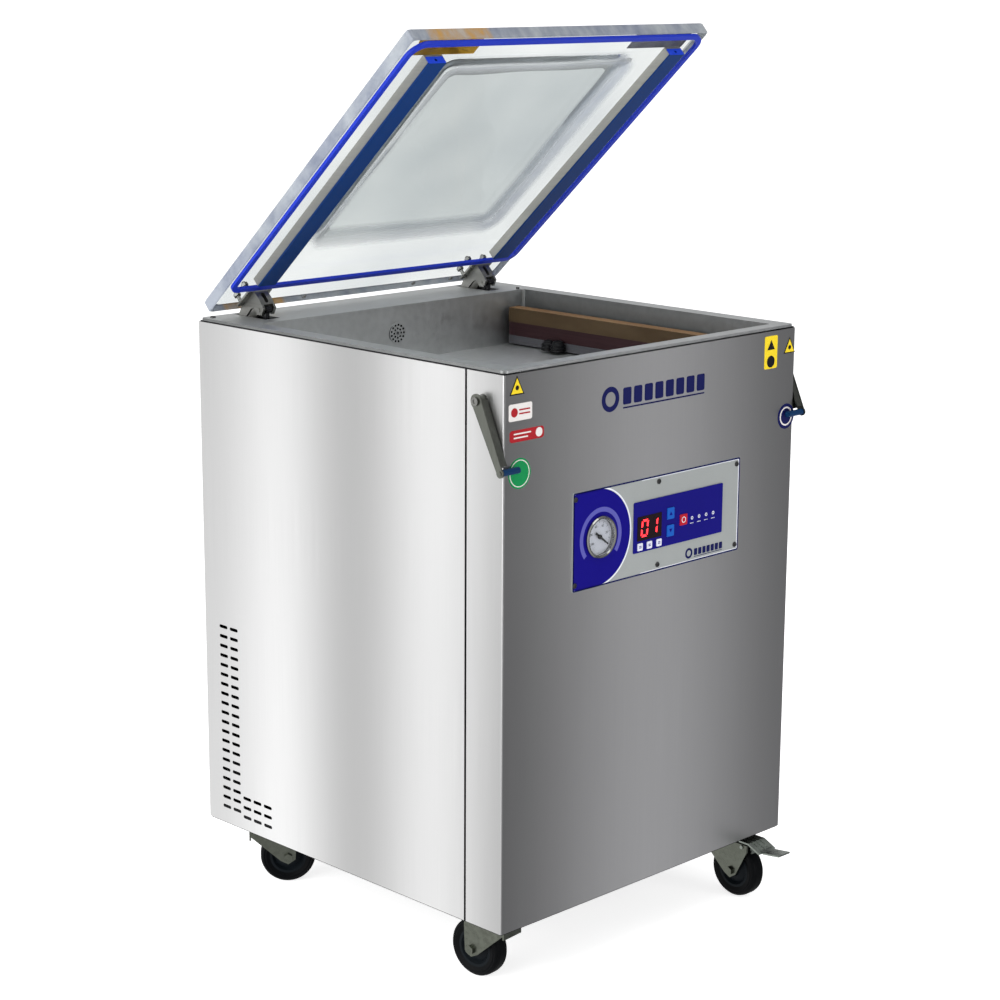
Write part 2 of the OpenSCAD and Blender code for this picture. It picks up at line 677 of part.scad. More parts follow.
// ---- casters: order front left, front right, back left, back right ----
function caster_spot(i) = [(i % 2 == 0 ? -1 : 1) * caster_x, (i < 2 ? -1 : 1) * caster_y, 0];
module at_caster(i) { at_cab() translate(caster_spot(i)) rotate([0, 0, caster_turn[i]]) children(); }
head_z = floor_gap - 4;
crown_z = 92;
fork_in = 17;
fork_t = 3.5;
module caster_plates() {
  color("#b4b8ba") at_cab() for (i = [0:3]) translate(caster_spot(i)) {
    translate([0, 0, head_z]) linear_extrude(4) rrect(92, 80, 6);
    for (x = [-34, 34], y = [-29, 29]) translate([x, y, head_z - 5]) cylinder(r = 6.5, h = 5 + eps, $fn = 6);
    translate([0, 0, crown_z + 6]) cylinder(r1 = 20, r2 = 24, h = head_z - crown_z - 6 + eps);
    translate([0, 0, crown_z - 1]) cylinder(r = 5, h = head_z - crown_z + 2);
    translate([0, 0, crown_z - 5]) cylinder(r = 8, h = 4.6, $fn = 6);
  }
}
module fork(i) {
  braked = i == 1;
  leg = [[-25, crown_z + 4], [-27, crown_z - 8], [trail - 12, wheel_d / 2 - 6], [trail, wheel_d / 2 - 12],
    [trail + 12, wheel_d / 2 - 4], [braked ? 70 : 50, crown_z - 8], [braked ? 70 : 46, crown_z + 4]];
  color("#a9adb0") at_caster(i) {
    difference() {
      union() {
        for (t = [-1, 1]) {
          x = t * (fork_in + fork_t / 2);
          along_x(x - fork_t / 2, x + fork_t / 2) polygon(leg);
        }
        block([-fork_in - fork_t, -27, crown_z], [fork_in + fork_t, 28, crown_z + 4]);
        block([-fork_in - fork_t, -27, crown_z - 16], [fork_in + fork_t, -24, crown_z + 4]);
        translate([0, 0, crown_z + 3]) cylinder(r = 23, h = 2.7);
      }
      translate([0, 0, crown_z - 5]) cylinder(r = 5 + run_gap, h = 20);
      if (braked) translate([0, 60, crown_z]) rod_x(-30, 30, 3 + run_gap);
    }
    translate([0, trail, wheel_d / 2]) {
      rod_x(-fork_in - fork_t - 3, fork_in + fork_t + 3, axle_r);
      for (t = [-1, 1]) rotate([0, t * 90, 0]) translate([0, 0, fork_in + fork_t - eps])
        cylinder(r = 7.5, h = 5, $fn = 6);
    }
  }
}
module tyre(i) {
  r = wheel_d / 2;
  w = wheel_w / 2;
  color("#26282b") at_caster(i) translate([0, trail, r]) rotate([0, 90, 0]) rotate_extrude()
    polygon([[30, -w + 2], [r - 9, -w], [r - 7, -w + 0.8], [r - 5, -w], [r - 3, -w + 1.2], [r - 0.8, -w + 4],
      [r, -w + 8], [r, w - 8], [r - 0.8, w - 4], [r - 3, w - 1.2], [r - 5, w], [r - 7, w - 0.8],
      [r - 9, w], [30, w - 2]]);
}
module hub(i) {
  w = wheel_w / 2;
  color("#6c7074") at_caster(i) translate([0, trail, wheel_d / 2]) rotate([0, 90, 0]) difference() {
    rotate_extrude() polygon([[0, -w - 2], [11, -w - 2], [12, -w + 3], [22, -w + 7], [26, -w + 2],
      [30, -w + 2], [30, w - 2], [26, w - 2], [22, w - 7], [12, w - 3], [11, w + 2], [0, w + 2]]);
    translate([0, 0, -w - 5]) cylinder(r = axle_r + run_gap, h = wheel_w + 10);
  }
}
// Foot lever on the front right caster: a wide plate that slopes down to a narrower tab
module brake_pedal() {
  tip = (front_reach - caster_y) / cos(180 - caster_turn[1]) - 1.7;
  plate_z = crown_z + 6.5;
  color("#b2b6b9") at_caster(1) {
    along_x(-20, 20) polygon([[53, plate_z], [72, plate_z], [95, plate_z - 10.5], [96.5, plate_z - 8],
      [73, plate_z + 2.6], [53, plate_z + 2.6]]);
    along_x(-14, 14) polygon([[90, plate_z - 8.2], [100, plate_z - 9.6], [tip, plate_z - 5.5],
      [tip, plate_z - 2.9], [100, plate_z - 7], [91, plate_z - 5.5]]);
    for (x = [-9, 0, 9]) along_x(x - 1.2, x + 1.2) polygon([[54, plate_z + 2], [73, plate_z + 2],
      [94, plate_z - 7.8], [94, plate_z - 6.4], [73, plate_z + 3.6], [54, plate_z + 3.6]]);
    for (t = [-1, 1]) block([t * 11.5 - 1.5, 54, crown_z - 4.5], [t * 11.5 + 1.5, 72, plate_z + eps]);
    block([-10, 66, crown_z - 11.5], [10, 72, plate_z + eps]);
    translate([0, 60, crown_z]) rod_x(-fork_in - fork_t - 2, fork_in + fork_t + 2, 3);
  }
}
module fork_fl() { fork(0); }
module fork_fr() { fork(1); }
module fork_bl() { fork(2); }
module fork_br() { fork(3); }
module tyre_fl() { tyre(0); }
module tyre_fr() { tyre(1); }
module tyre_bl() { tyre(2); }
module tyre_br() { tyre(3); }
module hub_fl() { hub(0); }
module hub_fr() { hub(1); }
module hub_bl() { hub(2); }
module hub_br() { hub(3); }

frame();
front_panel();
side_panel_left();
side_panel_right();
rear_panel();
chamber_tub();
suction_grille();
screws();
hinge_shaft();
hinge_bearings();
strut_cylinders();
control_panel();
keypad();
display_window();
gauge_case();
gauge_dial();
gauge_glass();
lift_cylinders();
vacuum_pump();
vacuum_hose();
valve_block();
control_box();
cable_gland();
arm_bosses();
caster_plates();
lid();
lid_gasket();
counter_bars();
counter_silicone();
hinge_arms();
lid_screws();
strut_rods();
seal_bar_left();
seal_bar_right();
seal_tape_left();
seal_tape_right();
gauge_needle();
button_up();
button_down();
button_stop();
button_a();
button_b();
button_c();
arm_left();
arm_right();
arm_grip_left();
arm_grip_right();
fork_fl();
fork_fr();
fork_bl();
fork_br();
tyre_fl();
tyre_fr();
tyre_bl();
tyre_br();
hub_fl();
hub_fr();
hub_bl();
hub_br();
brake_pedal();
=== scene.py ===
"""Looks of the vacuum chamber sealer: materials, printed panel, stickers, the formed clear lid."""
import json
import math
import bmesh
import bpy
from mathutils import Matrix, Vector, noise


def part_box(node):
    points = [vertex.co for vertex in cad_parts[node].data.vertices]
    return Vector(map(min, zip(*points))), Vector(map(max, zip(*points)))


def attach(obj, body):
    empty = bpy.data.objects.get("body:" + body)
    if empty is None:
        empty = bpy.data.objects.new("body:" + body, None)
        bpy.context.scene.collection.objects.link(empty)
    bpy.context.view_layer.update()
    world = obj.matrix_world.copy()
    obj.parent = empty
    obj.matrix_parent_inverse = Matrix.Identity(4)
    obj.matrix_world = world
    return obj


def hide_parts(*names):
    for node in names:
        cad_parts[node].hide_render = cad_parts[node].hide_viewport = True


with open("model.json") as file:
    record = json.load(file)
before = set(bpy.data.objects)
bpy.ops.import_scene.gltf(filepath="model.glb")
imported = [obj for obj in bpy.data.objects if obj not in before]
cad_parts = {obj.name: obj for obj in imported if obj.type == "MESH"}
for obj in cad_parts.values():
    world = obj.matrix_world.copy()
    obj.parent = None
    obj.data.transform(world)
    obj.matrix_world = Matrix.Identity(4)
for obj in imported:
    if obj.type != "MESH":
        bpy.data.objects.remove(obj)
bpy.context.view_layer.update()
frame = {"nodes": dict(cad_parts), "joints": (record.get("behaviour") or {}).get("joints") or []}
MM = 0.001
GRAIN_DEPTH = 0.0006
NODES = frame["nodes"]

# ---------------------------------------------------------------- places, all from the frame
plate_lo, plate_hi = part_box("control_panel")
keys_lo, keys_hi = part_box("keypad")
window_lo, window_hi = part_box("display_window")
gauge_lo, gauge_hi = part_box("gauge_case")
dial_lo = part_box("gauge_dial")[0]
FRONT_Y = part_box("front_panel")[0].y
BACK_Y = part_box("rear_panel")[1].y
MID_Y = (FRONT_Y + BACK_Y) / 2
BOTTOM_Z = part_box("frame")[0].z
TOP_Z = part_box("chamber_tub")[1].z
HINGE = next(j for j in frame["joints"] if j["name"] == "lid_hinge")
LID_ANGLE = math.radians(HINGE["range_deg"][1])
PIVOT = Vector(HINGE["pos_m"])


# ---------------------------------------------------------------- materials
def new_material(name):
    """A node material with its tree's nodes, links and shader."""
    mat = bpy.data.materials.new(name)
    mat.use_nodes = True
    nodes = mat.node_tree.nodes
    return mat, nodes, mat.node_tree.links, nodes["Principled BSDF"]


def texture_space(nodes, links, scale):
    """Object coordinates in metres, times scale: one number or one for each axis."""
    coord = nodes.new("ShaderNodeTexCoord")
    mapping = nodes.new("ShaderNodeMapping")
    mapping.inputs["Scale"].default_value = scale if isinstance(scale, tuple) else (scale,) * 3
    links.new(coord.outputs["Object"], mapping.inputs["Vector"])
    return mapping


def noise_node(nodes, links, space, detail=4.0, rough=0.55):
    tex = nodes.new("ShaderNodeTexNoise")
    tex.inputs["Scale"].default_value = 1.0
    tex.inputs["Detail"].default_value = detail
    tex.inputs["Roughness"].default_value = rough
    links.new(space.outputs["Vector"], tex.inputs["Vector"])
    return tex


def ramp_node(nodes, links, source, low, high, start=0.35, end=0.65):
    """Colour ramp from low at start to high at end."""
    ramp = nodes.new("ShaderNodeValToRGB")
    ramp.color_ramp.elements[0].position = start
    ramp.color_ramp.elements[1].position = end
    ramp.color_ramp.elements[0].color = (*low, 1)
    ramp.color_ramp.elements[1].color = (*high, 1)
    links.new(source, ramp.inputs["Fac"])
    return ramp


def range_node(nodes, links, source, low, high):
    """Carries a noise value's usual span to low..high."""
    node = nodes.new("ShaderNodeMapRange")
    node.inputs["From Min"].default_value = 0.3
    node.inputs["From Max"].default_value = 0.7
    node.inputs["To Min"].default_value = low
    node.inputs["To Max"].default_value = high
    links.new(source, node.inputs["Value"])
    return node


def multiply(nodes, links, first, second):
    mix = nodes.new("ShaderNodeMix")
    mix.data_type = "RGBA"
    mix.blend_type = "MULTIPLY"
    mix.inputs["Factor"].default_value = 1.0
    links.new(first, mix.inputs["A"])
    links.new(second, mix.inputs["B"])
    return mix


def maths(nodes, links, operation, first, second=None):
    """One arithmetic node; each input is a number or another node's output."""
    node = nodes.new("ShaderNodeMath")
    node.operation = operation
    for socket, value in zip(node.inputs, (first, second)):
        if isinstance(value, (int, float)):
            socket.default_value = value
        elif value is not None:
            links.new(value, socket)
    return node.outputs["Value"]


def eased(nodes, links, value, start, end, low, high):
    """Smooth step from low to high while value goes from start to end."""
    node = nodes.new("ShaderNodeMapRange")
    node.interpolation_type = "SMOOTHSTEP"
    node.inputs["From Min"].default_value = start
    node.inputs["From Max"].default_value = end
    node.inputs["To Min"].default_value = low
    node.inputs["To Max"].default_value = high
    links.new(value, node.inputs["Value"])
    return node.outputs["Result"]


def mixed(nodes, links, amount, first, second):
    """Colour mix; first and second are fixed colours or node outputs."""
    mix = nodes.new("ShaderNodeMix")
    mix.data_type = "RGBA"
    links.new(amount, mix.inputs["Factor"])
    for socket, value in ((mix.inputs["A"], first), (mix.inputs["B"], second)):
        if isinstance(value, tuple):
            socket.default_value = (*value, 1)
        else:
            links.new(value, socket)
    return mix.outputs["Result"]


def split_coord(nodes, links, output):
    """X, Y and Z outputs of a texture coordinate."""
    coord = nodes.new("ShaderNodeTexCoord")
    parts = nodes.new("ShaderNodeSeparateXYZ")
    links.new(coord.outputs[output], parts.inputs["Vector"])
    return parts.outputs


def grey_level(nodes, links, level):
    """The same level in all three channels."""
    grey = nodes.new("ShaderNodeCombineColor")
    for channel in ("Red", "Green", "Blue"):
        links.new(level, grey.inputs[channel])
    return grey.outputs["Color"]


def relief(nodes, links, bsdf, source, strength, distance):
    """Small surface relief that follows a value."""
    height = nodes.new("ShaderNodeBump")
    height.inputs["Strength"].default_value = strength
    height.inputs["Distance"].default_value = distance
    links.new(source, height.inputs["Height"])
    links.new(height.outputs["Normal"], bsdf.inputs["Normal"])


def shade(colour, factor):
    return tuple(min(1.0, c * factor) for c in colour)


def surface(name, colour, rough=0.5, metal=0.0, grain=300, vary=0.08, bump=0.02,
            rough_vary=0.06, coat=0.0, specular=0.15):
    """A solid finish: fine grain in colour, roughness and height, over slow large-scale variation."""
    mat, nodes, links, bsdf = new_material(name)
    fine = noise_node(nodes, links, texture_space(nodes, links, grain))
    slow = noise_node(nodes, links, texture_space(nodes, links, 7), 3.0)
    tint = ramp_node(nodes, links, fine.outputs["Fac"], shade(colour, 1 - vary), shade(colour, 1 + vary))
    broad = ramp_node(nodes, links, slow.outputs["Fac"], (0.94,) * 3, (1.0,) * 3)
    mix = multiply(nodes, links, tint.outputs["Color"], broad.outputs["Color"])
    links.new(mix.outputs["Result"], bsdf.inputs["Base Color"])
    roughness = range_node(nodes, links, fine.outputs["Fac"], rough - rough_vary, rough + rough_vary)
    links.new(roughness.outputs["Result"], bsdf.inputs["Roughness"])
    bsdf.inputs["Metallic"].default_value = metal
    bsdf.inputs["Coat Weight"].default_value = coat
    bsdf.inputs["Coat Roughness"].default_value = 0.15
    bsdf.inputs["Specular IOR Level"].default_value = specular
    if bump:
        relief(nodes, links, bsdf, fine.outputs["Fac"], bump, GRAIN_DEPTH)
    return mat


def steel_sheet(name):
    """Bright rolled sheet: fine upright grain under painted reflections: soft bands along the sides, a
    painted highlight down the front, lighter towards the bottom.
    """
    mat, nodes, links, bsdf = new_material(name)
    place = split_coord(nodes, links, "Object")
    facing = split_coord(nodes, links, "Normal")

    def calc(operation, first, second=None):
        return maths(nodes, links, operation, first, second)

    # Painted reflections on the side faces: soft lighter and darker bands along the cabinet, growing lighter
    # towards the back.
    along = calc("SUBTRACT", place["Y"], MID_Y)
    turns = calc("MULTIPLY", calc("SUBTRACT", along, 0.158), math.tau / 0.36)
    wave = calc("ADD", calc("MULTIPLY", calc("COSINE", turns), 0.5), 0.5)
    side = calc("ADD", calc("MULTIPLY", wave, 0.33), 0.53)
    side = calc("MULTIPLY", side, calc("ADD", calc("MULTIPLY", along, 0.42), 0.97))
    side = calc("MULTIPLY", side, eased(nodes, links, along, 0.20, 0.34, 1.0, 1.17))
    # Painted light: the side and front levels both fall off towards the top, so the sheet is lighter towards
    # the bottom.
    height = calc("SUBTRACT", place["Z"], BOTTOM_Z)
    side = calc("MULTIPLY", side, calc("ADD", calc("MULTIPLY", height, -0.305), 1.053))
    # Painted highlight down the middle of the front faces, fading towards their edges and lighter to the
    # right.
    off_middle = calc("ABSOLUTE", calc("ADD", place["X"], 0.008))
    front = eased(nodes, links, off_middle, 0.0, 0.36, 0.80, 0.33)
    front = calc("MULTIPLY", front, calc("ADD", calc("MULTIPLY", place["X"], 0.42), 0.97))
    front = calc("MULTIPLY", front, calc("ADD", calc("MULTIPLY", height, -0.35), 1.136))
    # Faces that look sideways take the side level of painted light, the others take the front level.
    sideways = eased(nodes, links, calc("ABSOLUTE", facing["X"]), 0.0, 1.0, 0.0, 1.0)
    level = calc("ADD", calc("MULTIPLY", side, sideways),
                 calc("MULTIPLY", front, calc("SUBTRACT", 1.0, sideways)))
    grain = noise_node(nodes, links, texture_space(nodes, links, (700, 700, 4)), 3.0)
    grain_tint = range_node(nodes, links, grain.outputs["Fac"], 0.985, 1.015)
    level = calc("MULTIPLY", level, grain_tint.outputs["Result"])
    links.new(grey_level(nodes, links, level), bsdf.inputs["Base Color"])
    roughness = range_node(nodes, links, grain.outputs["Fac"], 0.33, 0.39)
    links.new(roughness.outputs["Result"], bsdf.inputs["Roughness"])
    bsdf.inputs["Metallic"].default_value = 1.0
    return mat


def tub_steel(name):
    """Satin chamber steel: a slightly darker rim, a floor lightened by painted light and a right-hand wall
    darkened by painted shade.
    """
    mat, nodes, links, bsdf = new_material(name)
    place = split_coord(nodes, links, "Object")
    facing = split_coord(nodes, links, "Normal")
    fine = noise_node(nodes, links, texture_space(nodes, links, 90))
    slow = noise_node(nodes, links, texture_space(nodes, links, 6), 3.0)
    tint = ramp_node(nodes, links, fine.outputs["Fac"], (0.50, 0.515, 0.515), (0.55, 0.565, 0.565))
    broad = ramp_node(nodes, links, slow.outputs["Fac"], (0.92,) * 3, (1.0,) * 3)
    metal = multiply(nodes, links, tint.outputs["Color"], broad.outputs["Color"])
    rim = eased(nodes, links, place["Z"], TOP_Z - 0.012, TOP_Z - 0.003, 1.0, 0.95)
    # Painted shade: faces turned to the left, the inside of the right-hand wall, are darkened to about 0.4.
    right_wall_shade = eased(nodes, links, facing["X"], -0.9, -0.4, 0.38, 1.0)
    # Painted light: upward faces below the rim, the chamber floor, are lightened by a fifth.
    sunk = maths(nodes, links, "LESS_THAN", place["Z"], TOP_Z - 0.03)
    floor = eased(nodes, links, maths(nodes, links, "MULTIPLY", facing["Z"], sunk), 0.5, 0.9, 1.0, 1.2)
    level = maths(nodes, links, "MULTIPLY", maths(nodes, links, "MULTIPLY", rim, right_wall_shade), floor)
    both = multiply(nodes, links, metal.outputs["Result"], grey_level(nodes, links, level))
    links.new(both.outputs["Result"], bsdf.inputs["Base Color"])
    roughness = range_node(nodes, links, fine.outputs["Fac"], 0.38, 0.47)
    links.new(roughness.outputs["Result"], bsdf.inputs["Roughness"])
    bsdf.inputs["Metallic"].default_value = 1.0
    relief(nodes, links, bsdf, fine.outputs["Fac"], 0.03, GRAIN_DEPTH)
    return mat


BRUSH_DEEP = (900, 6, 900)

MATS = {"panel_steel": steel_sheet("panel_steel")}


def finish(name, *values, **more):
    """Adds a solid finish to the materials."""
    MATS[name] = surface(name, *values, **more)


# The frame's black paint, made near black so it also serves as painted shade where it shows through the seams
# between the panels.
finish("frame_paint_and_shade", (0.006, 0.006, 0.007), 0.5, 0.0, 500, 0.1, 0.1)
finish("bright_steel", (0.22, 0.22, 0.21), 0.26, 1.0, (700, 700, 90), 0.05, 0.03)
finish("screw_steel", (0.085, 0.085, 0.085), 0.35, 1.0, 300, 0.15, 0.05)
finish("hinge_steel", (0.27, 0.27, 0.255), 0.38, 1.0, BRUSH_DEEP, 0.08, 0.06)
finish("arm_steel", (0.125, 0.13, 0.115), 0.34, 1.0, (300, 300, 30), 0.05, 0.03)
# The caster zinc is darkened past its own tone as painted shade, and the pedal has a lighter copy of it as
# painted light.
finish("zinc", (0.14, 0.15, 0.125), 0.30, 1.0, 120, 0.10, 0.04, 0.08)
finish("zinc_lit_pedal", (0.27, 0.30, 0.27), 0.26, 1.0, 120, 0.10, 0.04, 0.08)
finish("strut_black", (0.008, 0.008, 0.010), 0.28, 0.0, 400, 0.1, 0.02, coat=0.2)
finish("plate_silver", (0.37, 0.39, 0.385), 0.4, 0.35, 900, 0.04, 0.03)
finish("print_blue", (0.004, 0.0015, 0.172), 0.4, 0.0, 900, 0.05, 0.03, specular=0.05)
finish("key_blue", (0.0055, 0.004, 0.155), 0.4, 0.0, 900, 0.06, 0.05, specular=0.05)
finish("print_white", (0.70, 0.72, 0.78), 0.4, 0.0, 900, 0.02, 0.02)
finish("print_sky", (0.085, 0.085, 0.36), 0.4, 0.0, 900, 0.05, 0.02)
finish("window_dark", (0.010, 0.004, 0.006), 0.2, 0.0, 300, 0.1, 0.0, coat=0.1)
finish("chrome", (0.33, 0.33, 0.32), 0.16, 1.0, 300, 0.03, 0.01, 0.03)
finish("dial_white", (0.40, 0.41, 0.46), 0.5, 0.0, 900, 0.02, 0.01)
finish("ink_black", (0.008, 0.009, 0.012), 0.5, 0.0, 600, 0.1, 0.02, specular=0.08)
finish("alu_cast", (0.52, 0.53, 0.54), 0.42, 0.9, 260, 0.08, 0.12)
finish("pump_paint", (0.10, 0.13, 0.16), 0.5, 0.2, 220, 0.1, 0.15)
finish("box_grey", (0.55, 0.54, 0.50), 0.55, 0.0, 300, 0.04, 0.05)
finish("black_plastic", (0.012, 0.012, 0.014), 0.45, 0.0, 500, 0.15, 0.08)
finish("black_rubber", (0.004, 0.004, 0.005), 0.42, 0.0, 260, 0.2, 0.1)
finish("gasket_blue", (0.008, 0.026, 0.36), 0.4, 0.0, 260, 0.08, 0.06)
finish("bar_alu", (0.30, 0.30, 0.28), 0.42, 0.85, BRUSH_DEEP, 0.06, 0.05)
finish("silicone_navy", (0.004, 0.028, 0.125), 0.45, 0.0, 300, 0.1, 0.05, specular=0.08)
# A lighter copy of the navy silicone, as painted light on the silicone's lit end faces.
finish("silicone_lit_end", (0.012, 0.055, 0.60), 0.42, 0.0, 300, 0.08, 0.03)
finish("button_blue", (0.002, 0.085, 0.42), 0.35, 0.0, 600, 0.05, 0.03)
finish("button_red", (0.40, 0.006, 0.020), 0.35, 0.0, 600, 0.05, 0.03)
finish("button_white", (0.62, 0.63, 0.72), 0.35, 0.0, 600, 0.03, 0.03)
finish("grip_blue", (0.002, 0.026, 0.085), 0.34, 0.0, 400, 0.08, 0.05, specular=0.15)
finish("tyre_dark", (0.0018, 0.0022, 0.0028), 0.5, 0.0, 240, 0.18, 0.12, specular=0.06)
finish("hub_dark", (0.004, 0.006, 0.008), 0.5, 0.0, 300, 0.1, 0.08, specular=0.08)
finish("label_yellow", (0.74, 0.55, 0.012), 0.42, 0.0, 700, 0.03, 0.02)
finish("label_red", (0.33, 0.008, 0.014), 0.40, 0.0, 700, 0.04, 0.02)
finish("label_green", (0.0, 0.215, 0.060), 0.40, 0.0, 700, 0.04, 0.02)
finish("label_navy", (0.006, 0.008, 0.070), 0.40, 0.0, 700, 0.04, 0.02, specular=0.08)
finish("label_white", (0.66, 0.63, 0.61), 0.42, 0.0, 700, 0.02, 0.02)
finish("label_grey", (0.20, 0.20, 0.25), 0.42, 0.0, 700, 0.05, 0.02)
finish("label_orange", (0.60, 0.33, 0.03), 0.42, 0.0, 700, 0.05, 0.02)
finish("deep_shadow", (0.003, 0.003, 0.003), 0.7, 0.0, 500, 0.1, 0.02, specular=0.02)


def woven_tape():
    """Coated glass-fibre tape: two crossed sets of fine ribs, with painted shade on the faces that do not
    look up.
    """
    mat, nodes, links, bsdf = new_material("tape_brown")
    space = texture_space(nodes, links, 1)
    waves = []
    for axis in ("X", "Y"):
        wave = nodes.new("ShaderNodeTexWave")
        wave.bands_direction = axis
        wave.inputs["Scale"].default_value = 260
        wave.inputs["Distortion"].default_value = 0.6
        links.new(space.outputs["Vector"], wave.inputs["Vector"])
        waves.append(wave)
    weave = maths(nodes, links, "MULTIPLY", waves[0].outputs["Fac"], waves[1].outputs["Fac"])
    tint = ramp_node(nodes, links, weave, (0.17, 0.095, 0.040), (0.27, 0.155, 0.070), 0.0, 1.0)
    slow = noise_node(nodes, links, texture_space(nodes, links, (30, 9, 30)))
    stain = ramp_node(nodes, links, slow.outputs["Fac"], (0.78, 0.74, 0.70), (1.0, 1.0, 1.0))
    mix = multiply(nodes, links, tint.outputs["Color"], stain.outputs["Color"])
    # Painted shade: faces that do not look up are darkened to between a third and a half, a little bluish.
    facing = split_coord(nodes, links, "Normal")
    side_shade = ramp_node(nodes, links, facing["Z"], (0.36, 0.42, 0.50), (1.0, 1.0, 1.0), 0.2, 0.8)
    both = multiply(nodes, links, mix.outputs["Result"], side_shade.outputs["Color"])
    links.new(both.outputs["Result"], bsdf.inputs["Base Color"])
    bsdf.inputs["Roughness"].default_value = 0.48
    bsdf.inputs["Specular IOR Level"].default_value = 0.15
    relief(nodes, links, bsdf, weave, 0.2, 0.0002)
    return mat


BAR_BASE_H = 0.059


def two_tone_bar():
    """Dark moulded bar body on a plain aluminium base strip."""
    mat, nodes, links, bsdf = new_material("bar_dark")
    place = split_coord(nodes, links, "Object")
    base_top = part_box("seal_bar_left")[0].z + BAR_BASE_H
    above = maths(nodes, links, "GREATER_THAN", place["Z"], base_top)
    fine = noise_node(nodes, links, texture_space(nodes, links, BRUSH_DEEP))
    base = ramp_node(nodes, links, fine.outputs["Fac"], (0.055, 0.055, 0.062), (0.075, 0.075, 0.082))
    body = ramp_node(nodes, links, fine.outputs["Fac"], (0.022, 0.009, 0.011), (0.032, 0.014, 0.016))
    both = mixed(nodes, links, above, base.outputs["Color"], body.outputs["Color"])
    links.new(both, bsdf.inputs["Base Color"])
    roughness = range_node(nodes, links, fine.outputs["Fac"], 0.38, 0.5)
    links.new(roughness.outputs["Result"], bsdf.inputs["Roughness"])
    bsdf.inputs["Specular IOR Level"].default_value = 0.12
    return mat


def clear(name, tint, rough, ior, ripple):
    """A clear solid: clean refraction with a faint slow ripple in its faces."""
    mat, nodes, links, bsdf = new_material(name)
    slow = noise_node(nodes, links, texture_space(nodes, links, 9), 2.0)
    haze = range_node(nodes, links, slow.outputs["Fac"], rough * 0.5, rough * 1.5)
    links.new(haze.outputs["Result"], bsdf.inputs["Roughness"])
    bsdf.inputs["Base Color"].default_value = (*tint, 1)
    bsdf.inputs["Transmission Weight"].default_value = 1.0
    bsdf.inputs["IOR"].default_value = ior
    relief(nodes, links, bsdf, slow.outputs["Fac"], ripple, 0.002)
    return mat


def formed_acrylic():
    """Clear sheet: palest on the flat border, painted shade greying the formed middle, soft painted
    reflections over all, and painted reflections as grey-blue streaks on its partly opaque walls.
    """
    mat = clear("acrylic", (0.9, 0.9, 0.9), 0.03, 1.14, 0.05)
    nodes, links = mat.node_tree.nodes, mat.node_tree.links
    bsdf = nodes["Principled BSDF"]
    formed = nodes.new("ShaderNodeAttribute")
    formed.attribute_name = "formed"
    amount = formed.outputs["Fac"]
    # Painted reflections in the formed walls: there the sheet is made partly opaque and streaked grey-blue,
    # more on the right.
    streak = noise_node(nodes, links, texture_space(nodes, links, (5, 5, 12)), 3.0)
    slope = maths(nodes, links, "MULTIPLY", amount, maths(nodes, links, "SUBTRACT", 1.0, amount))
    wall_reflection_cover = maths(nodes, links, "MULTIPLY", slope, 2.2)
    links.new(maths(nodes, links, "SUBTRACT", 1.0, wall_reflection_cover), bsdf.inputs["Transmission Weight"])
    wall = maths(nodes, links, "MULTIPLY", slope, maths(nodes, links, "MULTIPLY", streak.outputs["Fac"], 5.2))
    place = split_coord(nodes, links, "Object")
    right = eased(nodes, links, place["X"], 0.14, 0.19, 0.42, 1.0)
    wall = maths(nodes, links, "MULTIPLY", wall, right)
    # Painted shade: the formed middle is greyer than the flat border; slow soft painted reflections lie over
    # both.
    body = mixed(nodes, links, amount, (0.685, 0.71, 0.705), (0.485, 0.520, 0.517))
    cloud = noise_node(nodes, links, texture_space(nodes, links, 4), 2.0)
    soft_reflections = ramp_node(nodes, links, cloud.outputs["Fac"], (0.86, 0.87, 0.885), (1.04, 1.035, 1.03))
    with_soft_reflections = multiply(nodes, links, body, soft_reflections.outputs["Color"])
    with_wall_reflections = mixed(nodes, links, wall, with_soft_reflections.outputs["Result"], (0.27, 0.30, 0.36))
    links.new(with_wall_reflections, bsdf.inputs["Base Color"])
    return mat


def cut_edge():
    """Sawn and flamed edge of the clear sheet: grey-lilac, with pale and dark inner reflections."""
    mat, nodes, links, bsdf = new_material("acrylic_edge")
    place = split_coord(nodes, links, "Object")
    facing = split_coord(nodes, links, "Normal")
    long = noise_node(nodes, links, texture_space(nodes, links, (34, 16, 16)), 5.0, 0.62)
    short = noise_node(nodes, links, texture_space(nodes, links, (9, 5, 5)), 2.0)
    tone = ramp_node(nodes, links, long.outputs["Fac"], (0.15, 0.168, 0.215), (0.29, 0.31, 0.335), 0.32, 0.62)
    wash = ramp_node(nodes, links, short.outputs["Fac"], (0.80, 0.82, 0.88), (1.05, 1.05, 1.0), 0.35, 0.65)
    body = multiply(nodes, links, tone.outputs["Color"], wash.outputs["Color"])
    # Painted reflection: the orange left sticker shows in the edges that run across the lid, over the
    # sticker's width, patchy with the streaks.
    label_reflection = maths(nodes, links, "MULTIPLY", eased(nodes, links, place["X"], -0.285, -0.275, 0.0, 1.0),
                  eased(nodes, links, place["X"], -0.165, -0.155, 1.0, 0.0))
    across = maths(nodes, links, "LESS_THAN", maths(nodes, links, "ABSOLUTE", facing["X"]), 0.3)
    label_reflection = maths(nodes, links, "MULTIPLY", maths(nodes, links, "MULTIPLY", label_reflection, across),
                  eased(nodes, links, long.outputs["Fac"], 0.35, 0.6, 0.95, 0.35))
    tinted = mixed(nodes, links, label_reflection, body.outputs["Result"], (0.36, 0.20, 0.045))
    links.new(tinted, bsdf.inputs["Base Color"])
    bsdf.inputs["Roughness"].default_value = 0.3
    bsdf.inputs["Specular IOR Level"].default_value = 0.3
    return mat


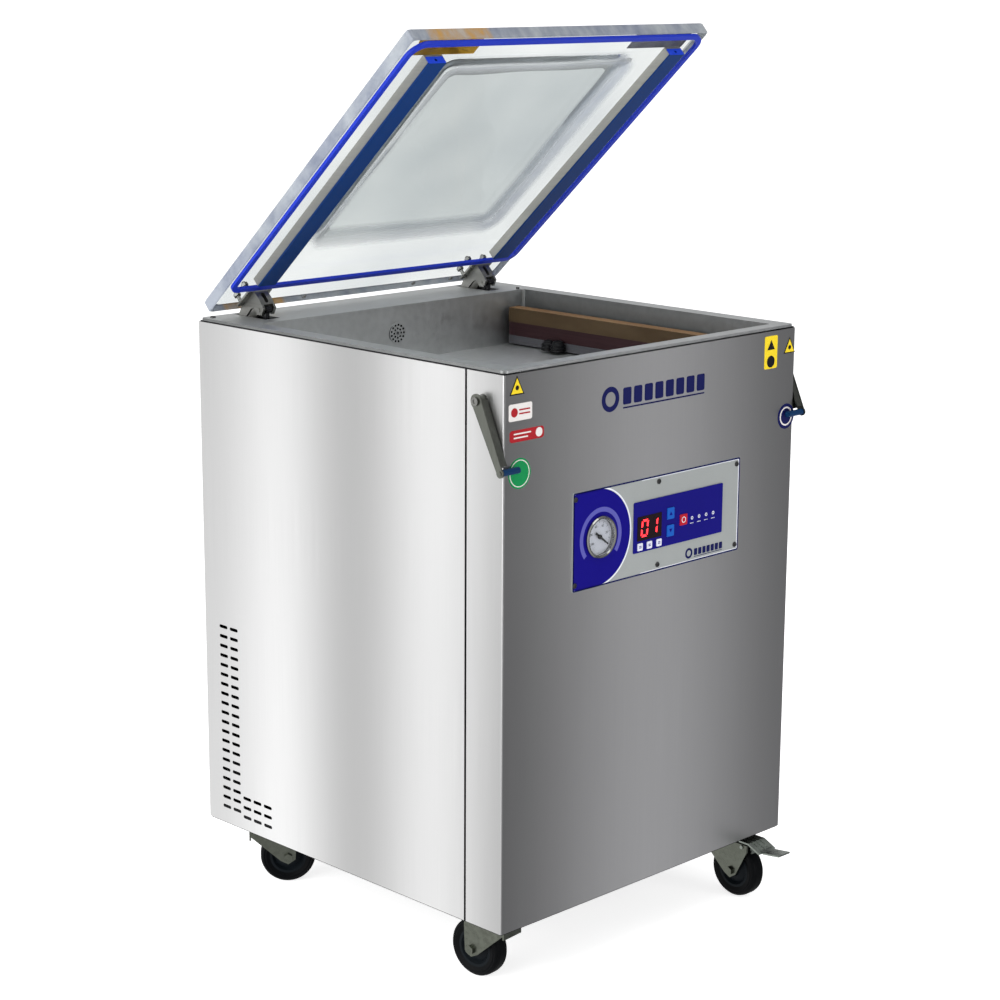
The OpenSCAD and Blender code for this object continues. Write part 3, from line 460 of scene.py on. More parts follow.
def lit(name, colour, strength):
    """Display segments: glowing, a little uneven from one spot to the next."""
    mat, nodes, links, bsdf = new_material(name)
    fine = noise_node(nodes, links, texture_space(nodes, links, 500))
    tint = ramp_node(nodes, links, fine.outputs["Fac"], shade(colour, 0.85), colour)
    links.new(tint.outputs["Color"], bsdf.inputs["Base Color"])
    links.new(tint.outputs["Color"], bsdf.inputs["Emission Color"])
    bsdf.inputs["Emission Strength"].default_value = strength
    bsdf.inputs["Roughness"].default_value = 0.4
    return mat


MATS["tape_brown"] = woven_tape()
MATS["bar_dark"] = two_tone_bar()
MATS["chamber_steel"] = tub_steel("chamber_steel")
MATS["acrylic"] = formed_acrylic()
MATS["acrylic_edge"] = cut_edge()
MATS["gauge_glass"] = clear("gauge_glass", (0.98, 0.99, 0.99), 0.01, 1.2, 0.0)
MATS["led_red"] = lit("led_red", (1.0, 0.02, 0.03), 2.2)

NODE_MATS = {
    "panel_steel": ["front_panel", "side_panel_left", "side_panel_right", "rear_panel"],
    "chamber_steel": ["chamber_tub", "suction_grille"],
    "frame_paint_and_shade": ["frame", "hinge_bearings"],
    "screw_steel": ["screws"],
    "bright_steel": ["hinge_shaft", "lid_screws", "arm_bosses"],
    "hinge_steel": ["hinge_arms"],
    "arm_steel": ["arm_left", "arm_right"],
    "zinc": ["caster_plates", "fork_fl", "fork_fr", "fork_bl", "fork_br"],
    "zinc_lit_pedal": ["brake_pedal"],
    "strut_black": ["strut_cylinders", "strut_rods"],
    "plate_silver": ["control_panel"],
    "key_blue": ["keypad"],
    "window_dark": ["display_window"],
    "chrome": ["gauge_case"],
    "dial_white": ["gauge_dial"],
    "gauge_glass": ["gauge_glass"],
    "ink_black": ["gauge_needle"],
    "alu_cast": ["lift_cylinders", "valve_block"],
    "pump_paint": ["vacuum_pump"],
    "black_rubber": ["vacuum_hose"],
    "box_grey": ["control_box"],
    "black_plastic": ["cable_gland"],
    "acrylic": ["lid"],
    "gasket_blue": ["lid_gasket"],
    "bar_alu": ["counter_bars"],
    "silicone_navy": ["counter_silicone"],
    "bar_dark": ["seal_bar_left", "seal_bar_right"],
    "tape_brown": ["seal_tape_left", "seal_tape_right"],
    "button_blue": ["button_up", "button_down"],
    "button_red": ["button_stop"],
    "button_white": ["button_a", "button_b", "button_c"],
    "grip_blue": ["arm_grip_left", "arm_grip_right"],
    "tyre_dark": ["tyre_fl", "tyre_fr", "tyre_bl", "tyre_br"],
    "hub_dark": ["hub_fl", "hub_fr", "hub_bl", "hub_br"],
}
for mat_name, members in NODE_MATS.items():
    for node in members:
        NODES[node].data.materials.clear()
        NODES[node].data.materials.append(MATS[mat_name])


def soften(node, width, segments=2):
    """Rounds a CAD node's sharp edges for the look."""
    bevel = NODES[node].modifiers.new("soft_edges", "BEVEL")
    bevel.width = width
    bevel.segments = segments
    bevel.limit_method = "ANGLE"
    bevel.angle_limit = math.radians(50)


# ---------------------------------------------------------------- piece helpers
def piece(name, mesh, mat, body, smooth=False):
    obj = bpy.data.objects.new(name, mesh)
    bpy.context.scene.collection.objects.link(obj)
    mesh.materials.append(MATS[mat])
    for poly in mesh.polygons:
        poly.use_smooth = smooth
    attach(obj, body)
    return obj


def mesh_from(name, verts, faces):
    mesh = bpy.data.meshes.new(name)
    mesh.from_pydata([tuple(v) for v in verts], [], faces)
    bm = bmesh.new()
    bm.from_mesh(mesh)
    bmesh.ops.recalc_face_normals(bm, faces=bm.faces)
    bm.to_mesh(mesh)
    bm.free()
    return mesh


def trim(name, solid, mat, body="cabinet"):
    """A piece from a closed solid's points and faces."""
    piece(name, mesh_from(name, *solid), mat, body)


def rounded(w, h, r, cx=0.0, cz=0.0, steps=6):
    """Outline of a rectangle with round corners, in millimetres."""
    points = []
    corners = ((1, 1, 0), (-1, 1, 90), (-1, -1, 180), (1, -1, 270))
    for sx, sz, start in corners:
        for i in range(steps + 1):
            a = math.radians(start + 90 * i / steps)
            points.append((cx + sx * (w / 2 - r) + r * math.cos(a), cz + sz * (h / 2 - r) + r * math.sin(a)))
    return points


def circle(r, cx=0.0, cz=0.0, steps=48):
    return [(cx + r * math.cos(math.tau * i / steps), cz + r * math.sin(math.tau * i / steps))
            for i in range(steps)]


def slab(outline, place, thick):
    """Closed thin solid: place(a, b, depth) puts outline point (a, b) in the row frame."""
    n = len(outline)
    verts = [place(a, b, 0.0) for a, b in outline] + [place(a, b, thick) for a, b in outline]
    faces = [tuple(range(n)), tuple(range(2 * n - 1, n - 1, -1))]
    faces += [(i, (i + 1) % n, n + (i + 1) % n, n + i) for i in range(n)]
    return verts, faces


def band(outer, inner, place, thick, closed=True):
    """Closed thin solid between two outlines with the same number of points."""
    n = len(outer)
    verts = [place(a, b, d) for d in (0.0, thick) for ring in (outer, inner) for a, b in ring]
    faces = []
    for i in range(n if closed else n - 1):
        j = (i + 1) % n
        faces.append((i, j, n + j, n + i))
        faces.append((2 * n + i, 3 * n + i, 3 * n + j, 2 * n + j))
        faces.append((i, 2 * n + i, 2 * n + j, j))
        faces.append((n + i, n + j, 3 * n + j, 3 * n + i))
    if not closed:
        faces += [(0, n, 3 * n, 2 * n), (n - 1, 3 * n - 1, 4 * n - 1, 2 * n - 1)]
    return verts, faces


def joined(parts):
    verts, faces = [], []
    for part_verts, part_faces in parts:
        base = len(verts)
        verts += part_verts
        faces += [tuple(base + i for i in face) for face in part_faces]
    return verts, faces


def on_front(face_y):
    """Places outline millimetres (x from the middle, z from the cabinet's underside) on a front face."""
    return lambda a, b, d: Vector((a * MM, face_y - d, BOTTOM_Z + b * MM))


# ---------------------------------------------------------------- lid: one thick formed clear plate
LID_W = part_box("lid")[1].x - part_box("lid")[0].x
LID_L = 0.639
LID_T = 0.020
LID_EDGE = 0.012
LID_GAP = 0.0053
RECESS_HALF = 0.207
RECESS = (0.142, 0.582)
RECESS_CORNER = 0.034
RECESS_WALL = (-0.004, 0.034)
RECESS_RISE = (0.008, 0.009)
WAVE = 0.0018


def lid_point(u, v, n):
    """Row-frame place of a point on the open lid: u across, v from the hinge edge, n outward."""
    y = -LID_EDGE - v
    z = TOP_Z + LID_GAP - PIVOT.z + n
    c, s = math.cos(LID_ANGLE), math.sin(LID_ANGLE)
    return Vector((u, PIVOT.y + y * c + z * s, PIVOT.z - y * s + z * c))


def smoothstep(a, b, x):
    """0 up to a, 1 from b on, smooth between."""
    t = min(1.0, max(0.0, (x - a) / (b - a)))
    return t * t * (3 - 2 * t)


def recess_depth_in(u, v):
    """Distance inside the recess outline, negative outside it."""
    qx = abs(u) - (RECESS_HALF - RECESS_CORNER)
    qy = abs(v - sum(RECESS) / 2) - ((RECESS[1] - RECESS[0]) / 2 - RECESS_CORNER)
    outside = math.hypot(max(qx, 0), max(qy, 0))
    return RECESS_CORNER - outside - min(max(qx, qy), 0)


def formed(u, v):
    """0 on the flat border, 1 in the pressed middle."""
    return smoothstep(*RECESS_WALL, recess_depth_in(u, v))


def lid_inner(u, v):
    wave = WAVE * noise.noise(Vector((u * 9, v * 9, 1.3)))
    return (RECESS_RISE[0] + wave) * formed(u, v)


def lid_outer(u, v):
    wave = WAVE * noise.noise(Vector((u * 8, v * 8, 7.9)))
    return LID_T + (RECESS_RISE[1] + wave) * formed(u, v)


def lid_mesh():
    """The lid's mesh and how many of its faces belong to the two broad sides."""
    cells = 96
    edge = 0.0015
    half_u, half_v, corner = LID_W / 2, LID_L / 2, 0.004
    def plan(i, j, inset):
        a, b = 2 * i / cells - 1, 2 * j / cells - 1
        u, v = a * (half_u - inset), b * (half_v - inset)
        cu, cv = half_u - inset - corner, half_v - inset - corner
        du, dv = abs(u) - cu, abs(v) - cv
        if du > 0 and dv > 0:
            reach = max(du, dv) / math.hypot(du, dv)
            u = math.copysign(cu + du * reach, u)
            v = math.copysign(cv + dv * reach, v)
        return u, v + half_v
    verts, faces, amounts = [], [], []
    for height in (lid_inner, lid_outer):
        for i in range(cells + 1):
            for j in range(cells + 1):
                u, v = plan(i, j, edge)
                verts.append(lid_point(u, v, height(u, v)))
                amounts.append(formed(u, v))
    side = cells + 1
    top = side * side
    for i in range(cells):
        for j in range(cells):
            a = i * side + j
            faces.append((a, a + 1, a + side + 1, a + side))
            faces.append((top + a, top + a + side, top + a + side + 1, top + a + 1))
    rim = [(i, 0) for i in range(cells)] + [(cells, j) for j in range(cells)]
    rim += [(i, cells) for i in range(cells, 0, -1)] + [(0, j) for j in range(cells, 0, -1)]
    rings = []
    for n in (edge, LID_T - edge):
        ring = []
        for i, j in rim:
            u, v = plan(i, j, 0.0)
            ring.append(len(verts))
            verts.append(lid_point(u, v, n))
        rings.append(ring)
    low = [i * side + j for i, j in rim]
    high = [top + i * side + j for i, j in rim]
    chain = [low, rings[0], rings[1], high]
    for one, two in zip(chain, chain[1:]):
        for k in range(len(rim)):
            m = (k + 1) % len(rim)
            faces.append((one[k], one[m], two[m], two[k]))
    mesh = mesh_from("formed_lid", verts, faces)
    store = mesh.attributes.new("formed", "FLOAT", "POINT")
    for k, amount in enumerate(amounts):
        store.data[k].value = amount
    return mesh, 2 * cells * cells


shell_mesh, face_count = lid_mesh()
lid = piece("formed_lid", shell_mesh, "acrylic", "lid", smooth=True)
shell_mesh.materials.append(MATS["acrylic_edge"])
for poly in list(shell_mesh.polygons)[face_count:]:
    poly.material_index = 1
    poly.use_smooth = False
lid.visible_shadow = False
NODES["gauge_glass"].visible_shadow = False
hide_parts("lid")


def on_lid(side):
    """Places outline millimetres on the lid's inner (-1) or outer (+1) border face."""
    base = 0.0 if side < 0 else LID_T
    return lambda a, b, d: lid_point(a * MM, b * MM, base + side * d)


THIN = 0.00025
BAR_LO, BAR_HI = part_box("counter_bars")
BAR_END = 0.606
# Painted light: a brighter blue sheet on the lit end face of each counter silicone, leaving its hole open.
for side, bar_u in (("left", BAR_LO.x / MM + 18), ("right", BAR_HI.x / MM - 18)):
    lit_end = band(rounded(33.6, 11.6, 1.6, bar_u, -9.8), circle(2.6, bar_u, -10, 28),
               lambda a, b, d: lid_point(a * MM, BAR_END + d, b * MM), 0.0008)
    trim("bar_lit_end_" + side, lit_end, "silicone_lit_end", "lid")

stickers = [
    ("lid_label_left", "label_orange", rounded(125, 38, 2, -218, 609)),
    ("lid_label_right", "label_grey", rounded(128, 36, 2, 235, 609)),
]
for name, mat, outline in stickers:
    trim(name, slab(outline, on_lid(1), THIN), mat, "lid")

# ---------------------------------------------------------------- control panel print
PANEL_MID = ((plate_lo.x + plate_hi.x) / 2 / MM, ((plate_lo.z + plate_hi.z) / 2 - BOTTOM_Z) / MM)
PANEL_W = (plate_hi.x - plate_lo.x) / MM
PANEL_H = (plate_hi.z - plate_lo.z) / MM
GAUGE = ((gauge_lo.x + gauge_hi.x) / 2 / MM, ((gauge_lo.z + gauge_hi.z) / 2 - BOTTOM_Z) / MM)
on_plate = on_front(plate_lo.y)
left_x = PANEL_MID[0] - PANEL_W / 2
low_z = PANEL_MID[1] - PANEL_H / 2
high_z = PANEL_MID[1] + PANEL_H / 2


def arc(cx, cz, r, a0, a1, steps=40):
    """Points of an arc from angle a0 to a1, in degrees."""
    return [(cx + r * math.cos(math.radians(a0 + (a1 - a0) * i / steps)),
             cz + r * math.sin(math.radians(a0 + (a1 - a0) * i / steps))) for i in range(steps + 1)]


border_out = rounded(PANEL_W - 0.6, PANEL_H - 0.6, 2.8, *PANEL_MID)
border_in = rounded(PANEL_W - 5.2, PANEL_H - 5.2, 1.2, *PANEL_MID)
border = band(border_out, border_in, on_plate, THIN)
trim("panel_border", border, "label_navy", "cabinet")
LINE = (PANEL_MID[0] - 40, PANEL_MID[0] + PANEL_W / 2 - 2.8)


def open_frame(right_x, inset):
    """Three sides of a frame round the plate's right part, open at its left end."""
    top, bottom = high_z - inset, low_z + inset
    return [(LINE[0], top), (right_x, top), (right_x, bottom), (LINE[0], bottom)]


line = band(open_frame(LINE[1], 2.8), open_frame(LINE[1] - 1.4, 3.7), on_plate, THIN * 0.8, closed=False)
trim("panel_line", line, "print_white", "cabinet")

# Blue field at the left, ending in a round front, with a pale crescent along it
FIELD = (GAUGE[0] - 9, PANEL_MID[1], PANEL_H / 2 - 1.4)
hole = circle(31.2, *GAUGE, steps=64)


def field_outline():
    """The blue field's outline seen from the gauge, one point for each point of the gauge hole."""
    points = []
    for hx, hz in hole:
        dx, dz = hx - GAUGE[0], hz - GAUGE[1]
        size = math.hypot(dx, dz)
        dx, dz = dx / size, dz / size
        far = 500.0
        if dx < 0:
            far = min(far, (left_x + 1.4 - GAUGE[0]) / dx)
        if dz:
            far = min(far, (math.copysign(FIELD[2], dz)) / dz)
        x, z = GAUGE[0] + dx * far, GAUGE[1] + dz * far
        ox, oz = x - FIELD[0], z - FIELD[1]
        if ox > 0 and math.hypot(ox, oz) > FIELD[2]:
            b = dx * (GAUGE[0] - FIELD[0])
            c = (GAUGE[0] - FIELD[0]) ** 2 - FIELD[2] ** 2
            t = -b + math.sqrt(b * b - c)
            x, z = GAUGE[0] + dx * t, GAUGE[1] + dz * t
        points.append((x, z))
    return points


trim("panel_field", band(field_outline(), hole, on_plate, THIN), "print_blue", "cabinet")
crescent_out = arc(FIELD[0], FIELD[1], FIELD[2] + 2.9, -86, 86)
crescent_in = arc(FIELD[0], FIELD[1], FIELD[2] + 0.6, -86, 86)
crescent_out = [(x, max(low_z + 2.6, min(high_z - 2.6, z))) for x, z in crescent_out]
crescent_in = [(x, max(low_z + 2.6, min(high_z - 2.6, z))) for x, z in crescent_in]
crescent = band(crescent_out, crescent_in, on_plate, THIN * 0.8, False)
trim("panel_crescent", crescent, "print_white", "cabinet")
on_field = on_front(plate_lo.y - THIN)
sky = band(arc(*GAUGE, 44.5, -38, 218), arc(*GAUGE, 37.5, -38, 218), on_field, THIN * 0.6, False)
trim("gauge_surround", sky, "print_sky", "cabinet")

# ---------------------------------------------------------------- display digits
SEGMENTS = {"0": "abcdef", "1": "bc"}
DIGIT_SIZE = (7.6, 13.2, 2.1)


def digit(char, cx, cz, w, h, t):
    """Slanted seven-segment digit: half width w, half height h, stroke about 1.6 t."""
    slant = 0.10
    bars = {
        "a": [(-w + t, h), (w - t, h), (w - 2 * t, h - 1.6 * t), (-w + 2 * t, h - 1.6 * t)],
        "d": [(-w + t, -h), (w - t, -h), (w - 2 * t, -h + 1.6 * t), (-w + 2 * t, -h + 1.6 * t)],
        "b": [(w, h - t), (w, 0.6 * t), (w - 1.6 * t, 1.2 * t), (w - 1.6 * t, h - 2 * t)],
        "c": [(w, -h + t), (w, -0.6 * t), (w - 1.6 * t, -1.2 * t), (w - 1.6 * t, -h + 2 * t)],
        "f": [(-w, h - t), (-w, 0.6 * t), (-w + 1.6 * t, 1.2 * t), (-w + 1.6 * t, h - 2 * t)],
        "e": [(-w, -h + t), (-w, -0.6 * t), (-w + 1.6 * t, -1.2 * t), (-w + 1.6 * t, -h + 2 * t)],
    }
    place = on_front(window_lo.y)
    return [slab([(cx + x + slant * z, cz + z) for x, z in bars[s]], place, 0.0004) for s in SEGMENTS[char]]


WINDOW = ((window_lo.x + window_hi.x) / 2 / MM, ((window_lo.z + window_hi.z) / 2 - BOTTOM_Z) / MM)
digits = digit("0", WINDOW[0] - 11, WINDOW[1], *DIGIT_SIZE)
digits += digit("1", WINDOW[0] + 10, WINDOW[1], *DIGIT_SIZE)
trim("display_digits", joined(digits), "led_red", "cabinet")

# ---------------------------------------------------------------- button marks and pilot lights
def triangle(cx, cz, w, h):
    """Upright triangle, or one that points down when h is negative."""
    return [(cx - w / 2, cz - h / 2), (cx + w / 2, cz - h / 2), (cx, cz + h / 2)]


def node_mid(node):
    """A node's middle in outline millimetres, and its front face."""
    lo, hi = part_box(node)
    return (lo.x + hi.x) / 2 / MM, ((lo.z + hi.z) / 2 - BOTTOM_Z) / MM, lo.y


for node, sign in (("button_up", 1), ("button_down", -1)):
    cx, cz, face = node_mid(node)
    mark = slab(triangle(cx, cz, 6.5, 5.5 * sign), on_front(face), THIN)
    trim(node + "_mark", mark, "print_blue", node)
cx, cz, face = node_mid("button_stop")
mark = band(circle(4.6, cx, cz), circle(3.6, cx, cz), on_front(face), THIN)
trim("button_stop_mark", mark, "print_white", "button_stop")
for node in ("button_a", "button_b", "button_c"):
    cx, cz, face = node_mid(node)
    marks = [slab(rounded(5, 1.1, 0.4, cx, cz + k * 2.2, 3), on_front(face), THIN) for k in (-0.5, 0.5)]
    trim(node + "_mark", joined(marks), "print_blue", node)

on_keys = on_front(keys_lo.y)
PILOT_START, PILOT_STEP, PILOT_HEIGHT = 0.649, 0.081, 0.44
pilots, dashes = [], []
for k in range(4):
    x = (keys_lo.x + (keys_hi.x - keys_lo.x) * (PILOT_START + PILOT_STEP * k)) / MM
    z = (keys_lo.z + (keys_hi.z - keys_lo.z) * PILOT_HEIGHT - BOTTOM_Z) / MM
    pilots.append(band(circle(2.6, x, z, 24), circle(1.5, x, z, 24), on_keys, THIN))
    dashes += [slab(rounded(1.6, 1.3, 0.4, x + dx, z - 8, 3), on_keys, THIN) for dx in (-3.4, -0.6, 2.4)]
trim("pilot_rings", joined(pilots), "print_white", "cabinet")
trim("pilot_dashes", joined(dashes), "print_white", "cabinet")

# ---------------------------------------------------------------- gauge scale: ticks and numbers
on_dial = on_front(dial_lo.y)
SCALE_START, SCALE_SPAN = -37.0, 250.0


def tick(angle, r0, r1, width):
    """Outline of one scale line between two radii; width is half its width."""
    a = math.radians(angle)
    along, across = (math.cos(a), math.sin(a)), (-math.sin(a), math.cos(a))
    return [(GAUGE[0] + along[0] * r + across[0] * w, GAUGE[1] + along[1] * r + across[1] * w)
            for r, w in ((r0, -width), (r1, -width), (r1, width), (r0, width))]


ticks = []
for k in range(51):
    major = k % 5 == 0
    angle = SCALE_START + SCALE_SPAN * k / 50
    ticks.append(slab(tick(angle, 20.5 if major else 22.3, 24.8, 0.34 if major else 0.18), on_dial, 0.0001))
trim("dial_ticks", joined(ticks), "ink_black", "cabinet")


def numeral(text, angle, radius, size):
    """Mesh of one dial number, standing on the dial's face."""
    curve = bpy.data.curves.new("numeral", "FONT")
    curve.body = text
    curve.size = size
    curve.align_x, curve.align_y = "CENTER", "CENTER"
    curve.extrude = 0.00005
    obj = bpy.data.objects.new("numeral", curve)
    bpy.context.scene.collection.objects.link(obj)
    a = math.radians(angle)
    place = on_dial(GAUGE[0] + radius * math.cos(a), GAUGE[1] + radius * math.sin(a), 0.0001)
    obj.matrix_world = Matrix.Translation(place) @ Matrix.Rotation(math.pi / 2, 4, "X")
    bpy.context.view_layer.update()
    mesh = bpy.data.meshes.new_from_object(obj.evaluated_get(bpy.context.evaluated_depsgraph_get()))
    mesh.transform(obj.matrix_world)
    bpy.data.objects.remove(obj)
    mesh.name = "dial_number_" + text
    return mesh


for k in range(6):
    text = str(20 * k)
    piece("dial_number_" + text, numeral(text, SCALE_START + SCALE_SPAN * k / 5, 16.8, 0.0052), "ink_black",
          "cabinet")

# ---------------------------------------------------------------- stickers on the front, all without words
on_face = on_front(FRONT_Y)
on_print = on_front(FRONT_Y - THIN)


def sticker(name, outline, mat, layer=0):
    place = on_face if layer == 0 else on_print
    trim(name, slab(outline, place, THIN), mat)


def shrink(points, k):
    """An outline made smaller about its middle."""
    mx = sum(p[0] for p in points) / len(points)
    mz = sum(p[1] for p in points) / len(points)
    return [(mx + (x - mx) * k, mz + (z - mz) * k) for x, z in points]


for side, cx, cz, w, h in (("left", -295, 806, 29, 27), ("right", 306, 796, 28, 25)):
    outline = triangle(cx, cz, w, h)
    name = "corner_mark_" + side
    trim(name + "_edge", slab(outline, on_face, THIN), "ink_black")
    trim(name, slab(shrink(outline, 0.80), on_print, THIN), "label_yellow")
    blot = slab(circle(3.4, cx, cz - 3.5, 24), on_front(FRONT_Y - 2 * THIN), THIN)
    trim(name + "_dot", blot, "ink_black")
sticker("label_white", rounded(46, 24, 3, -288, 768), "label_white")
sticker("label_white_disc", circle(6.5, -300, 768, 32), "label_red", 1)
sticker("label_white_rule", rounded(22, 2.0, 0.8, -280, 771, 3), "label_red", 1)
sticker("label_white_rule_low", rounded(22, 2.0, 0.8, -280, 765.5, 3), "label_red", 1)
sticker("label_red", rounded(68, 17, 5, -275, 734.5), "label_red")
sticker("label_red_disc", circle(6.6, -251, 735, 32), "label_white", 1)
sticker("label_red_rule", rounded(34, 2.0, 0.8, -284, 737.5, 3), "label_white", 1)
sticker("label_red_rule_low", rounded(28, 2.0, 0.8, -287, 732, 3), "label_white", 1)
sticker("label_green", circle(22, -289, 681), "label_green")
ring = band(circle(19.5, -289, 681), circle(18.3, -289, 681), on_print, THIN)
trim("label_green_ring", ring, "label_white")
sticker("label_yellow", rounded(31, 51, 3, 260.5, 789.5), "label_yellow")
sticker("label_yellow_disc", circle(9.2, 260.5, 775, 32), "ink_black", 1)
sticker("label_yellow_mark", triangle(260.5, 801, 18, 15), "ink_black", 1)
sticker("label_navy", circle(20, 302.5, 684), "label_navy")
ring = band(circle(15.0, 302.5, 684), circle(12.6, 302.5, 684), on_print, THIN)
trim("label_navy_ring", ring, "label_white")


def plain_marks(name, place, ring_at, ring_r, first, last, z, h, count):
    """A ring, a row of equal plain blocks and a rule under them: no letters."""
    step = (last - first) / (count - 0.24)
    parts = [band(circle(ring_r, *ring_at), circle(ring_r * 0.58, *ring_at), place, THIN)]
    for k in range(count):
        cx = first + step * (k + 0.38)
        parts.append(slab(rounded(step * 0.76, h, step * 0.12, cx, z, 3), place, THIN))
    rule = rounded(last - first, h * 0.09, h * 0.04, (first + last) / 2, z - h * 0.68, 3)
    parts.append(slab(rule, place, THIN))
    trim(name, joined(parts), "label_navy")


plain_marks("front_marks", on_face, (-104, 762), 18.5, -77, 104, 763, 25, 8)
plain_marks("panel_marks", on_plate, (75, 503), 8.2, 87, 153, 503, 10.5, 7)

# ---------------------------------------------------------------- darkness inside the suction holes
grille_lo, grille_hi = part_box("suction_grille")
GRILLE = ((grille_lo.x + grille_hi.x) / 2 / MM, (grille_lo.z + grille_hi.z) / 2 / MM)
GRILLE_DEPTH = 0.0008


def in_grille(a, b, d):
    """Places outline millimetres just inside the grille's front face."""
    return Vector((a * MM, grille_lo.y + GRILLE_DEPTH + d, b * MM))


discs = []
for count, reach, r in ((8, 7.6, 1.8), (13, 13.6, 1.9)):
    for k in range(count):
        turn = math.tau * k / count
        spot = circle(r, GRILLE[0] + reach * math.cos(turn), GRILLE[1] - reach * math.sin(turn), 20)
        discs.append(slab(spot, in_grille, 0.0004))
trim("grille_depths", joined(discs), "deep_shadow")

# ---------------------------------------------------------------- terminal boots on the seal bars
def boot_mesh(name, x, y, z, side):
    """A pair of soft round lobes on a short foot, on the inner side of a seal bar."""
    lobes = []
    for dy, size in ((-0.0115, 1.0), (0.0105, 0.92)):
        rings, turns = 14, 20
        verts, faces = [], []
        for i in range(rings + 1):
            t = i / rings
            up = 0.019 * size * t
            r = size * (0.0125 - 0.0045 * smoothstep(0.45, 1.0, t)) * (1 + 0.06 * math.cos(t * 22))
            r *= math.sqrt(max(0.0, 1 - max(0.0, (t - 0.8) / 0.2) ** 2)) if t > 0.8 else 1.0
            for k in range(turns):
                a = math.tau * k / turns
                verts.append(Vector((x + side * 0.011 + r * math.cos(a), y + dy + r * math.sin(a), z + up)))
        for i in range(rings):
            for k in range(turns):
                a, b = i * turns + k, i * turns + (k + 1) % turns
                faces.append((a, b, b + turns, a + turns))
        faces.append(tuple(range(turns - 1, -1, -1)))
        lobes.append((verts, faces))
    return mesh_from(name, *joined(lobes))


BOOT_Y = MID_Y + 0.100
BOOT_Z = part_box("seal_tape_right")[0].z - 0.0355
for side, place in ((-1, "left"), (1, "right")):
    lo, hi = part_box("seal_bar_" + place)
    inner_x = lo.x if side > 0 else hi.x
    name = "terminal_boot_" + place
    boot = boot_mesh(name, inner_x, BOOT_Y, BOOT_Z, -side)
    piece(name, boot, "black_rubber", "bar_" + place, smooth=True)

# ---------------------------------------------------------------- softened CAD edges
for node, width in (("chamber_tub", 0.0014), ("lid_gasket", 0.0020), ("counter_bars", 0.0006),
                    ("hinge_arms", 0.0007), ("arm_left", 0.0006), ("arm_right", 0.0006),
                    ("brake_pedal", 0.0007), ("control_panel", 0.0004), ("keypad", 0.0003),
                    ("fork_fl", 0.0007), ("fork_fr", 0.0007), ("fork_bl", 0.0007), ("fork_br", 0.0007)):
    soften(node, width)

# ---------------------------------------------------------------- stage, light and camera
FLOOR_HALF = 600.0


def floor_mesh():
    corners = ((-1, -1), (1, -1), (1, 1), (-1, 1))
    return mesh_from("floor", [(x * FLOOR_HALF, y * FLOOR_HALF, 0) for x, y in corners], [(0, 1, 2, 3)])


floor = bpy.data.objects.new("floor", floor_mesh())
bpy.context.scene.collection.objects.link(floor)
floor_mat = surface("floor_white", (0.80, 0.80, 0.80), 0.9, 0.0, 60, 0.01, 0.0, specular=0.0)
floor_shader = floor_mat.node_tree.nodes["Principled BSDF"]
floor_shader.inputs["Emission Color"].default_value = (1, 1, 1, 1)
floor_shader.inputs["Emission Strength"].default_value = 0.75
floor.data.materials.append(floor_mat)
floor.visible_glossy = False


def area_light(name, place, target, size, power):
    """A soft white panel that faces the target."""
    light = bpy.data.lights.new(name, "AREA")
    light.shape = "RECTANGLE"
    light.size, light.size_y = size
    light.energy = power
    obj = bpy.data.objects.new(name, light)
    bpy.context.scene.collection.objects.link(obj)
    obj.location = place
    obj.rotation_euler = (Vector(target) - Vector(place)).to_track_quat("-Z", "Y").to_euler()


CENTRE = Vector((0, MID_Y, 0.6))
area_light("key", (-3.6, 0.3, 1.3), CENTRE, (3.4, 3.0), 125)
area_light("top", (-0.3, -0.4, 4.2), CENTRE, (3.5, 3.5), 70)
area_light("fill", (1.2, -4.2, 1.4), CENTRE, (1.2, 3.2), 45)


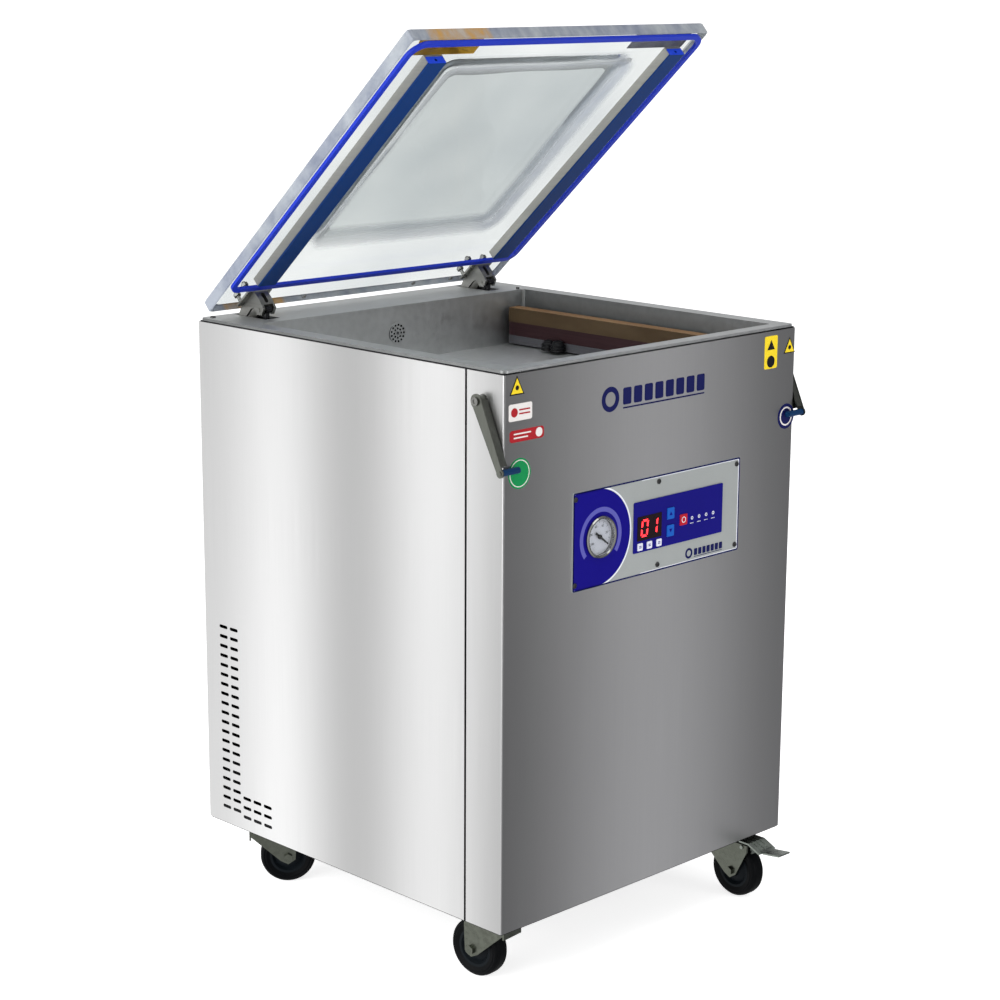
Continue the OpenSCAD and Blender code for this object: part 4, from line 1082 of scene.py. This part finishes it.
def studio_world():
    """Pale room, brightest to the left of the machine and darkest to its right front."""
    world = bpy.data.worlds.new("studio")
    bpy.context.scene.world = world
    world.use_nodes = True
    nodes, links = world.node_tree.nodes, world.node_tree.links
    background = nodes["Background"]
    coord = nodes.new("ShaderNodeTexCoord")
    turn = nodes.new("ShaderNodeVectorMath")
    turn.operation = "DOT_PRODUCT"
    turn.inputs[1].default_value = Vector((-0.80, 0.60, 0.0)).normalized()
    links.new(coord.outputs["Generated"], turn.inputs[0])
    ramp = nodes.new("ShaderNodeValToRGB")
    ramp.color_ramp.elements[0].position = 0.05
    ramp.color_ramp.elements[0].color = (0.30, 0.30, 0.31, 1)
    ramp.color_ramp.elements[1].position = 0.85
    ramp.color_ramp.elements[1].color = (1.0, 1.0, 1.0, 1)
    half = nodes.new("ShaderNodeMapRange")
    half.inputs["From Min"].default_value = -1
    half.inputs["From Max"].default_value = 1
    links.new(turn.outputs["Value"], half.inputs["Value"])
    links.new(half.outputs["Result"], ramp.inputs["Fac"])
    links.new(ramp.outputs["Color"], background.inputs["Color"])
    background.inputs["Strength"].default_value = 0.95


studio_world()
bpy.context.scene.view_settings.view_transform = "Standard"


CAMERA_AZ, CAMERA_EL, CAMERA_ROLL = math.radians(-44.896), math.radians(12.984), math.radians(0.330)
CAMERA_SPOT = Vector((-2.5421, MID_Y - 2.5624, BOTTOM_Z + 1.3728))
CAMERA_LENS = 83.97


def aim_camera():
    """Front left view, a little above the lid's hinge line, with a long lens."""
    az, el = CAMERA_AZ, CAMERA_EL
    back = Vector((math.sin(az) * math.cos(el), -math.cos(az) * math.cos(el), math.sin(el)))
    right = Vector((math.cos(az), math.sin(az), 0))
    up = back.cross(right)
    c, s = math.cos(CAMERA_ROLL), math.sin(CAMERA_ROLL)
    right, up = c * right + s * up, c * up - s * right
    data = bpy.data.cameras.new("camera")
    data.lens = CAMERA_LENS
    data.sensor_width = 36.0
    data.clip_end = 2000.0
    camera = bpy.data.objects.new("camera", data)
    bpy.context.scene.collection.objects.link(camera)
    turn = Matrix((right, up, back)).transposed().to_4x4()
    camera.matrix_world = Matrix.Translation(CAMERA_SPOT) @ turn
    bpy.context.scene.camera = camera


aim_camera()
